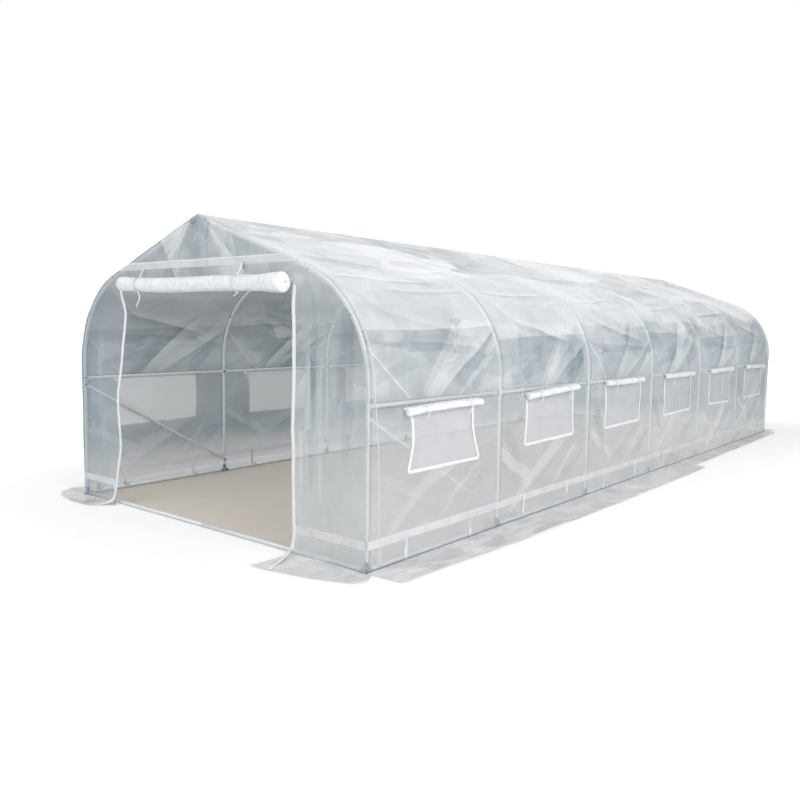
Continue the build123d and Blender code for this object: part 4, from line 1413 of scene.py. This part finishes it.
def make_door_roll():
    """The front door's film, rolled up on the outside over the doorway and tied to the gable band."""
    outward = np.array((0, -1.0, 0))
    ties = (-0.60, 0.45)

    def at(x):
        sag = -0.006 * np.cos(x * 3.2) + 0.004 * np.sin(x * 5.0 + 0.6) - 0.013 * x
        return np.array((x, -(END_Y + 0.0013 + DOOR_ROLL_R), DOOR_ROLL_Z + sag))

    stations = lines(0.026, -DOOR_REACH + 0.100, DOOR_REACH - 0.036)
    roll = rolled_sheet("front_door_roll", stations, at, outward, DOOR_ROLL_R, 0.010, DOOR_TURNS, 700, 0.030, ties, 0.24)
    kept(roll, ROLLED, "rolled_film", "door_roll")
    loops = []
    for k, x in enumerate(ties):
        loop = ring_tape("loop", at(x), np.array((1.0, 0, 0)), outward, DOOR_ROLL_R * 0.885, 0.020, 0.0014,
                         -pi * 0.62, pi * 0.55, 26)
        top = np.array((x, -(END_Y + 0.004), GABLE_BAND_Z0 + 0.012))
        start = at(x) + DOOR_ROLL_R * 0.885 * (cos(pi * 0.55) * outward + sin(pi * 0.55) * np.array((0, 0, 1.0)))
        share = np.linspace(0, 1, 8)[:, None]
        path = start * (1 - share) + top * share
        path[:, 0] += 0.006 * np.sin(share[:, 0] * pi) * (1 if k else -1)
        rise = tape("rise", path, np.broadcast_to((1.0, 0, 0), path.shape), np.broadcast_to(outward, path.shape), 0.020, 0.0014)
        base = at(x) + np.array((0.014, -DOOR_ROLL_R * 0.35, -DOOR_ROLL_R * 0.83))
        drop = np.linspace(0, 1, 12)
        hang = 0.115 if k == 0 else 0.040
        path = base + np.stack([0.014 * np.sin(drop * 5), 0.010 * np.sin(drop * 3) - 0.002, -hang * drop], axis=-1)
        end = tape("end", path, np.broadcast_to((1.0, 0, 0), path.shape), np.broadcast_to(outward, path.shape), 0.016, 0.0012)
        loops += [loop, rise, end]
    ties = kept(joined("front_door_ties", loops), WEBBING, "white_webbing")
    return roll


def make_back_door():
    """The back door's film, let down outside its doorway, with its edging and its own foot band."""
    xs = lines(0.026, -DOOR_REACH, DOOR_REACH)
    zs = lines(0.026, GROUND + 0.001, BAND_Z0, BAND_Z1, DOOR_TOP + 0.025)

    def points(x, z, lift=0.0):
        x, z = np.broadcast_arrays(x, z)
        edge = np.minimum(smooth(0.0, 0.10, DOOR_TOP + 0.025 - z), 1)
        folds = 0.006 * hills(x * 6 + 0.3 * z, z * 0.8, 950) + 0.005 * facets(x * 3 + z, z * 2.6 - x, 951)
        stand = 0.0125 + edge * (folds + 0.002)
        return np.stack([x + 0.006 * np.sin(z * 5) * (np.abs(x) / DOOR_REACH) ** 4, END_Y + np.maximum(stand, 0.003) + lift, z], axis=-1)

    door = cloth("back_door_sheet", points(xs[None, :], zs[:, None]), facing_end(BACK))
    kept(door, END_FILM, "clear_film", "back_door_film")
    band_x = lines(0.03, -DOOR_REACH + 0.02, DOOR_REACH - 0.02)
    band_z = lines(0.0167, BAND_Z0, BAND_Z1)
    band = cloth("back_door_band", points(band_x[None, :], band_z[:, None], 0.0014), facing_end(BACK))
    kept(band, BAND, "band_tape", "ground_bands")
    for side in (RIGHT, LEFT):
        z = np.linspace(1.60, 0.006, 76)
        middle = points(np.full_like(z, side * (DOOR_REACH - 0.011)), z, 0.0008)
        across, outward = frames_along(middle, np.broadcast_to((0, 1.0, 0), middle.shape))
        edging = tape(f"back_door_edging_{SIDE_NAMES[side]}", middle, across, outward, 0.028, 0.0030)
        kept(edging, BINDING, "white_binding", "doorway_bindings")


# Straps


def strap_mesh(name, tail, sway):
    """A strap round the right-hand ground rail at y = 0: down from the band, round the rail, up to a loose end."""
    reach = TUBE_R + 0.0009
    down_z = np.linspace(0.168, RAIL_Z, 12)
    down = np.stack([np.full_like(down_z, HALF_WIDTH + reach), sway * np.sin((down_z - RAIL_Z) * 14), down_z], axis=-1)
    angle = np.linspace(0, -pi, 12)[1:]
    under = np.stack([HALF_WIDTH + reach * np.cos(angle), 0 * angle, RAIL_Z + reach * np.sin(angle)], axis=-1)
    share = np.linspace(0, 1, 12)[1:]
    curl = 0.030 * np.sin(share * 2.6) * (tail / 0.08)
    up = np.stack([HALF_WIDTH - reach - curl, sway * 2 * share, RAIL_Z + tail * share - 0.02 * share**3], axis=-1)
    path = np.concatenate([down, under, up])
    along = unit(np.gradient(path, axis=0))
    across = np.broadcast_to((0, 1.0, 0), path.shape)
    outward = unit(np.cross(across, along))
    return tape(name, path, unit(across - along * np.sum(across * along, axis=-1, keepdims=True)), outward, 0.025, 0.0014)


def make_straps():
    rng = random.Random(77)
    models = [strap_mesh(f"strap_{k}", rng.uniform(0.05, 0.10), rng.uniform(-0.004, 0.004)) for k in range(5)]
    straps = []
    places = [y + step * BAY / 4 for y in BAY_Y for step in (-1, 1)]
    places += [HOOP_Y[0] + 0.100, HOOP_Y[-1] - 0.100]
    for side in (RIGHT, LEFT):
        for k, y in enumerate(places):
            shift = Matrix.Translation((0, y + rng.uniform(-0.004, 0.004), 0))
            flip = Matrix.Scale(side, 4, (1, 0, 0))
            straps.append(copied(rng.choice(models), f"strap_side_{SIDE_NAMES[side]}_{k}", shift @ flip))
    quarter = {FRONT: Matrix.Rotation(-pi / 2, 4, "Z"), BACK: Matrix.Rotation(pi / 2, 4, "Z")}
    for end in (FRONT, BACK):
        for x in (-1.060, 1.060):
            shift = Matrix.Translation((x, -end * (HALF_WIDTH - HALF_LENGTH), 0))
            straps.append(copied(rng.choice(models), f"strap_end_{end}_{x}", shift @ quarter[end]))
    for model in models:
        bpy.data.objects.remove(model)
    return kept(joined("tie_down_straps", straps), WEBBING, "white_webbing", "tie_straps")


# Tube frame


class Tube:
    """A round tube drawn in edit mode: a disc is pulled along, stepped in or out, and bent, then closed."""

    def __init__(self, start, facing, radius, sides=20):
        bpy.ops.object.select_all(action="DESELECT")
        self.at = Vector(start)
        self.facing = Vector(facing).normalized()
        self.radius = radius
        turn = self.facing.to_track_quat("Z", "Y").to_euler()
        bpy.ops.mesh.primitive_circle_add(vertices=sides, radius=radius, fill_type="NGON", location=start, rotation=turn)
        bpy.ops.object.mode_set(mode="EDIT")

    def run(self, length):
        step = self.facing * length
        bpy.ops.mesh.extrude_region_move(TRANSFORM_OT_translate={"value": step})
        self.at += step
        return self

    def resize(self, scale):
        bpy.ops.transform.resize(value=scale, center_override=self.at)
        return self

    def to_radius(self, radius, over=0.0006):
        """A short rounded shoulder up or down to another radius."""
        self.run(over)
        self.resize((radius / self.radius,) * 3)
        self.radius = radius
        return self

    def bend(self, centre, axis, angle, steps):
        """Bends on about an axis; the angle is counted the usual way round it."""
        bpy.ops.mesh.spin(steps=steps, angle=-angle, center=centre, axis=axis)
        turn = Matrix.Rotation(angle, 4, Vector(axis))
        self.at = turn @ (self.at - Vector(centre)) + Vector(centre)
        self.facing = turn.to_3x3() @ self.facing
        return self

    def finish(self, name, smooth_under=radians(40)):
        bpy.ops.mesh.select_all(action="SELECT")
        bpy.ops.mesh.remove_doubles(threshold=0.00002)
        bpy.ops.mesh.normals_make_consistent(inside=False)
        bpy.ops.object.mode_set(mode="OBJECT")
        bpy.ops.object.transform_apply(location=True, rotation=True, scale=True)
        bpy.ops.object.shade_smooth_by_angle(angle=smooth_under)
        obj = bpy.context.active_object
        obj.name = obj.data.name = name
        return obj


def hex_bolt(name, across_flats=0.010, length=0.006):
    """A bolt's head with a washer, standing out along X from the origin."""
    bpy.ops.object.select_all(action="DESELECT")
    bpy.ops.mesh.primitive_cylinder_add(vertices=20, radius=across_flats * 0.78, depth=0.0012, location=(0.0006, 0, 0), rotation=(0, pi / 2, 0))
    washer = bpy.context.active_object
    bpy.ops.object.mode_set(mode="EDIT")
    bpy.ops.mesh.bevel(offset=0.0003, segments=1)
    bpy.ops.object.mode_set(mode="OBJECT")
    bpy.ops.object.transform_apply(location=True, rotation=True, scale=True)
    bpy.ops.object.select_all(action="DESELECT")
    bpy.ops.mesh.primitive_cylinder_add(vertices=6, radius=across_flats * 0.577, depth=length, location=(0.0012 + length / 2, 0, 0), rotation=(0, pi / 2, 0))
    head = bpy.context.active_object
    bpy.ops.object.mode_set(mode="EDIT")
    bpy.ops.mesh.bevel(offset=0.0008, segments=2)
    bpy.ops.object.mode_set(mode="OBJECT")
    bpy.ops.object.transform_apply(location=True, rotation=True, scale=True)
    bolt = joined(name, [washer, head])
    only(bolt)
    bpy.ops.object.shade_smooth_by_angle(angle=radians(35))
    return bolt


def facing_matrix(at, facing):
    """Turns a piece that stands out along X to face another way at a place."""
    return Matrix.Translation(at) @ Vector(facing).to_track_quat("X", "Z").to_matrix().to_4x4()


def bend_place(angle, offset=0.0):
    return Vector((BEND_X + (BEND_RADIUS + offset) * cos(angle), 0, EAVE + (BEND_RADIUS + offset) * sin(angle)))


JOINT_ANGLE = radians(36)
SWAGE_R = 0.0116
TUBE_LIP = 0.0128


def hoop_half():
    """The right-hand tube of a hoop at y = 0: leg, bend with its slip joints, and rafter."""
    centre = (BEND_X, 0, EAVE)
    over = (0, -1, 0)
    tube = Tube((HALF_WIDTH, 0, 0.030), (0, 0, 1), TUBE_R - 0.0004)
    tube.run(0.55).run(EAVE - 0.030 - 0.55 - 0.06)
    tube.to_radius(TUBE_R + 0.0002).run(0.02).run(0.0394)
    tube.bend(centre, over, JOINT_ANGLE, 12)
    tube.to_radius(SWAGE_R)
    tube.bend(centre, over, radians(1.2), 1)
    tube.to_radius(TUBE_R)
    tube.bend(centre, over, pi / 2 - PITCH - JOINT_ANGLE - radians(1.4), 11)
    tube.run(0.030).to_radius(SWAGE_R).run(0.012).to_radius(TUBE_R)
    rest = (Vector((0, 0, APEX_Z)) - tube.at).length - 0.040
    tube.facing = (Vector((0, 0, APEX_Z)) - tube.at).normalized()
    tube.run(rest * 0.5).run(rest * 0.5)
    return tube.finish("hoop_half")


def make_hoops():
    """Seven hoops, each with two bent tubes and the bolts of their joints."""
    half = hoop_half()
    bolt = hex_bolt("joint_bolt")
    for k, y in enumerate(HOOP_Y):
        name = ("front_hoop", "hoop_2", "hoop_3", "hoop_4", "hoop_5", "hoop_6", "back_hoop")[k]
        outward = BACK if y == HOOP_Y[-1] else FRONT
        halves, bolts = [], []
        for side in (RIGHT, LEFT):
            flip = Matrix.Scale(side, 4, (1, 0, 0))
            shift = Matrix.Translation((0, y, 0))
            halves.append(copied(half, "half", shift @ flip))
            for angle in (JOINT_ANGLE - radians(1.6), pi / 2 - PITCH - radians(1.0)):
                at = bend_place(angle)
                for facing in (FRONT, BACK):
                    if facing == outward and k in (0, BAYS):
                        grip = TUBE_R - 0.0022
                    else:
                        grip = TUBE_R - 0.0006
                    place = facing_matrix((side * at.x, y + facing * grip, at.z), (0, facing, 0))
                    bolts.append(copied(bolt, "bolt", place @ Matrix.Scale(0.78 if facing == outward and k in (0, BAYS) else 1.0, 4)))
        kept(joined(f"{name}_tubes", halves), TUBE, "galvanised_tube", name)
        kept(joined(f"{name}_bolts", bolts), BOLT, "steel_fitting")
    bpy.data.objects.remove(half)
    bpy.data.objects.remove(bolt)


def straight_tube(name, start, end, radius, sides=18, lip=True):
    """A straight tube with slightly rounded ends."""
    start, end = Vector(start), Vector(end)
    run = end - start
    tube = Tube(start, run, radius * 0.94, sides)
    if lip:
        tube.to_radius(radius, 0.001)
        tube.run(run.length - 0.002)
        tube.to_radius(radius * 0.94, 0.001)
    else:
        tube.run(run.length)
    return tube.finish(name)


def sleeve(name, start, end, radius, sides=20):
    """A fitting's sleeve: a rolled rim at both ends and a shallow pressed ring near each."""
    start, end = Vector(start), Vector(end)
    run = end - start
    rim = 0.0025
    waist = radius - 0.0005
    tube = Tube(start, run, radius * 0.90, sides)
    tube.to_radius(radius, 0.0007).run(rim).to_radius(waist, 0.0007)
    tube.run(run.length - 2 * rim - 4 * 0.0007)
    tube.to_radius(radius, 0.0007).run(rim).to_radius(radius * 0.90, 0.0007)
    return tube.finish(name)


def make_foot_fittings():
    """The tees and corner pieces at the legs' feet, with their set screws."""
    screw = hex_bolt("set_screw", 0.008, 0.004)
    parts, screws = [], []
    for side in (RIGHT, LEFT):
        for y in HOOP_Y:
            low = -SLEEVE_R * 0.9 if y == HOOP_Y[0] else -FOOT_SLEEVE / 2
            high = SLEEVE_R * 0.9 if y == HOOP_Y[-1] else FOOT_SLEEVE / 2
            x = side * HALF_WIDTH
            parts.append(sleeve("sleeve", (x, y + low, RAIL_Z), (x, y + high, RAIL_Z), SLEEVE_R))
            parts.append(sleeve("socket", (x, y, RAIL_Z), (x, y, FOOT_SOCKET_Z + 0.004), SLEEVE_R))
            if y in (HOOP_Y[0], HOOP_Y[-1]):
                parts.append(sleeve("arm", (x + side * 0.010, y, RAIL_Z), (x - side * FOOT_SLEEVE / 2, y, RAIL_Z), SLEEVE_R))
            inward = (-side, 0, 0)
            screws.append(copied(screw, "screw", facing_matrix((x - side * (SLEEVE_R - 0.0008), y, 0.048), inward)))
            for reach in (low, high):
                if abs(reach) > SLEEVE_R:
                    at = (x - side * (SLEEVE_R - 0.0008), y + reach * 0.72, RAIL_Z + 0.001)
                    screws.append(copied(screw, "screw", facing_matrix(at, inward)))
    bpy.data.objects.remove(screw)
    kept(joined("foot_tees", parts), FITTING, "steel_fitting", "foot_fittings")
    kept(joined("foot_screws", screws), BOLT, "steel_fitting")


def make_peak_fittings():
    """The fittings at the ridge: two sloping sleeves and one along the ridge, with set screws."""
    screw = hex_bolt("set_screw", 0.008, 0.004)
    parts, screws = [], []
    down = Vector((cos(PITCH), 0, -sin(PITCH)))
    for y in HOOP_Y:
        low = -RIDGE_SLEEVE_R * 0.9 if y == HOOP_Y[0] else -PEAK_STUB / 2
        high = RIDGE_SLEEVE_R * 0.9 if y == HOOP_Y[-1] else PEAK_STUB / 2
        parts.append(sleeve("ridge", (0, y + low, APEX_Z), (0, y + high, APEX_Z), RIDGE_SLEEVE_R))
        for side in (RIGHT, LEFT):
            way = Vector((side * down.x, 0, down.z))
            start = Vector((0, y, APEX_Z)) + way * 0.004
            parts.append(sleeve("arm", start, Vector((0, y, APEX_Z)) + way * PEAK_ARM, SLEEVE_R))
            under = Vector((-side * sin(PITCH), 0, -cos(PITCH)))
            at = Vector((0, y, APEX_Z)) + way * 0.066 + under * (SLEEVE_R - 0.0008)
            screws.append(copied(screw, "screw", facing_matrix(at, under)))
    bpy.data.objects.remove(screw)
    kept(joined("peak_sleeves", parts), FITTING, "steel_fitting", "peak_fittings")
    kept(joined("peak_screws", screws), BOLT, "steel_fitting")


def make_straight_rails():
    """The ridge rails and the ground rails on all four sides."""
    gap = PEAK_STUB / 2 - 0.012
    ridge = [straight_tube("rail", (0, a + gap, APEX_Z), (0, b - gap, APEX_Z), RAIL_R) for a, b in zip(HOOP_Y, HOOP_Y[1:])]
    kept(joined("ridge_tubes", ridge), TUBE, "galvanised_tube", "ridge_rail")
    gap = FOOT_SLEEVE / 2 - 0.012
    for side in (RIGHT, LEFT):
        x = side * HALF_WIDTH
        rails = [straight_tube("rail", (x, a + gap, RAIL_Z), (x, b - gap, RAIL_Z), TUBE_R) for a, b in zip(HOOP_Y, HOOP_Y[1:])]
        kept(joined(f"ground_tubes_{SIDE_NAMES[side]}", rails), TUBE, "galvanised_tube", f"ground_rail_{SIDE_NAMES[side]}")
    for end, name in ((FRONT, "front"), (BACK, "back")):
        y = end * HALF_LENGTH
        reach = HALF_WIDTH - gap
        halves = [straight_tube("rail", (-reach, y, RAIL_Z), (0.02, y, RAIL_Z), TUBE_R * 0.97),
                  straight_tube("rail", (0.0, y, RAIL_Z), (reach, y, RAIL_Z), TUBE_R)]
        kept(joined(f"{name}_ground_tube", halves), TUBE, "galvanised_tube", f"{name}_ground_rail")


FLAT_THICK = 0.0020
TAB = 0.042
PAST_BOLT = 0.011


def flat_ended(name, start, end, radius, lap):
    """A tube pressed flat at both ends; start and end are its bolts' places as (y, z), on the right-hand legs."""
    tab_x = HALF_WIDTH - TUBE_R - FLAT_THICK * 0.85
    start, end = Vector((tab_x, *start)), Vector((tab_x, *end))
    way = (end - start).normalized()
    flat = FLAT_THICK / 2 / (radius * 0.42)
    wide = 1.36
    first = start - way * PAST_BOLT
    tube = Tube(first, way, radius * 0.42, 20)
    tube.resize((flat * 0.9, wide * 1.6, wide * 1.6))
    tube.run(0.008)
    tube.resize((1.0 / 0.9, 1.42, 1.42))
    tube.run(TAB - 0.004)
    body_x = HALF_WIDTH - TUBE_R - FLAT_THICK
    steps = ((0.006, 2.2), (0.008, 1.85), (0.008, 1.5), (0.008, 1.3))
    grown = flat * 1.0
    for length, factor in steps:
        tube.run(length)
        tube.resize((factor, 0.925, 0.925))
        grown *= factor
    last = 1.0 / (grown * 0.42)
    side_now = 0.42 * wide * 1.6 * 1.42 * 0.925**4
    tube.run(0.006)
    tube.resize((last, 1 / side_now, 1 / side_now))
    used = 0.008 + TAB - 0.004 + sum(length for length, _ in steps) + 0.006
    tube.run((end - start).length + 2 * PAST_BOLT - 2 * used)
    tube.run(0.006)
    tube.resize((1 / last, side_now, side_now))
    for length, factor in reversed(steps):
        tube.resize((1 / factor, 1 / 0.925, 1 / 0.925))
        tube.run(length)
    tube.run(TAB - 0.004)
    tube.resize((0.9, 1 / 1.42, 1 / 1.42))
    tube.run(0.008)
    return tube.finish(name)


def make_side_rails():
    bolt = hex_bolt("rail_bolt", 0.011, 0.006)
    for side in (RIGHT, LEFT):
        flip = Matrix.Scale(side, 4, (1, 0, 0))
        rails, bolts = [], []
        for a, b in zip(HOOP_Y, HOOP_Y[1:]):
            rail = flat_ended("rail", (a, SIDE_RAIL_Z), (b, SIDE_RAIL_Z), RAIL_R, 1)
            rails.append(copied(rail, "rail", flip))
            bpy.data.objects.remove(rail)
        for y in HOOP_Y:
            at = (side * (HALF_WIDTH - TUBE_R - 2 * FLAT_THICK + 0.0006), y, SIDE_RAIL_Z)
            bolts.append(copied(bolt, "bolt", facing_matrix(at, (-side, 0, 0))))
        kept(joined(f"side_tubes_{SIDE_NAMES[side]}", rails), TUBE, "galvanised_tube", f"side_rail_{SIDE_NAMES[side]}")
        kept(joined(f"side_bolts_{SIDE_NAMES[side]}", bolts), BOLT, "steel_fitting")
    braces, bolts = [], []
    for end in (FRONT, BACK):
        top = (end * HOOP_Y[-1], SIDE_RAIL_Z - 0.052)
        foot = (end * HOOP_Y[-2], 0.112)
        brace = flat_ended("brace", top, foot, BRACE_R, 0)
        for side in (RIGHT, LEFT):
            flip = Matrix.Scale(side, 4, (1, 0, 0))
            braces.append(copied(brace, "brace", flip))
            for y, z in (top, foot):
                at = (side * (HALF_WIDTH - TUBE_R - FLAT_THICK), y, z)
                bolts.append(copied(bolt, "bolt", facing_matrix(at, (-side, 0, 0))))
        bpy.data.objects.remove(brace)
    kept(joined("end_bay_brace_tubes", braces), TUBE, "galvanised_tube", "end_bay_braces")
    kept(joined("brace_bolts", bolts), BOLT, "steel_fitting")
    bpy.data.objects.remove(bolt)


# Everything in its place

make_hoops()
make_foot_fittings()
make_peak_fittings()
make_straight_rails()
make_side_rails()
cover = make_cover()
side_trim = make_side_trim()
windows = [make_window(side, bay) for side in (RIGHT, LEFT) for bay in range(BAYS)]
for side in (RIGHT, LEFT):
    for bay in range(BAYS):
        make_window_roll(side, bay)
for end in (FRONT, BACK):
    sheet = make_end_film(end)
    trim = make_end_bands(end)
    if end == FRONT:
        trim += [make_edging(end, side) for side in (RIGHT, LEFT)]
    for side in (RIGHT, LEFT):
        make_end_flap(end, side)
for side in (RIGHT, LEFT):
    make_side_flap(side)
make_door_roll()
make_back_door()
make_straps()
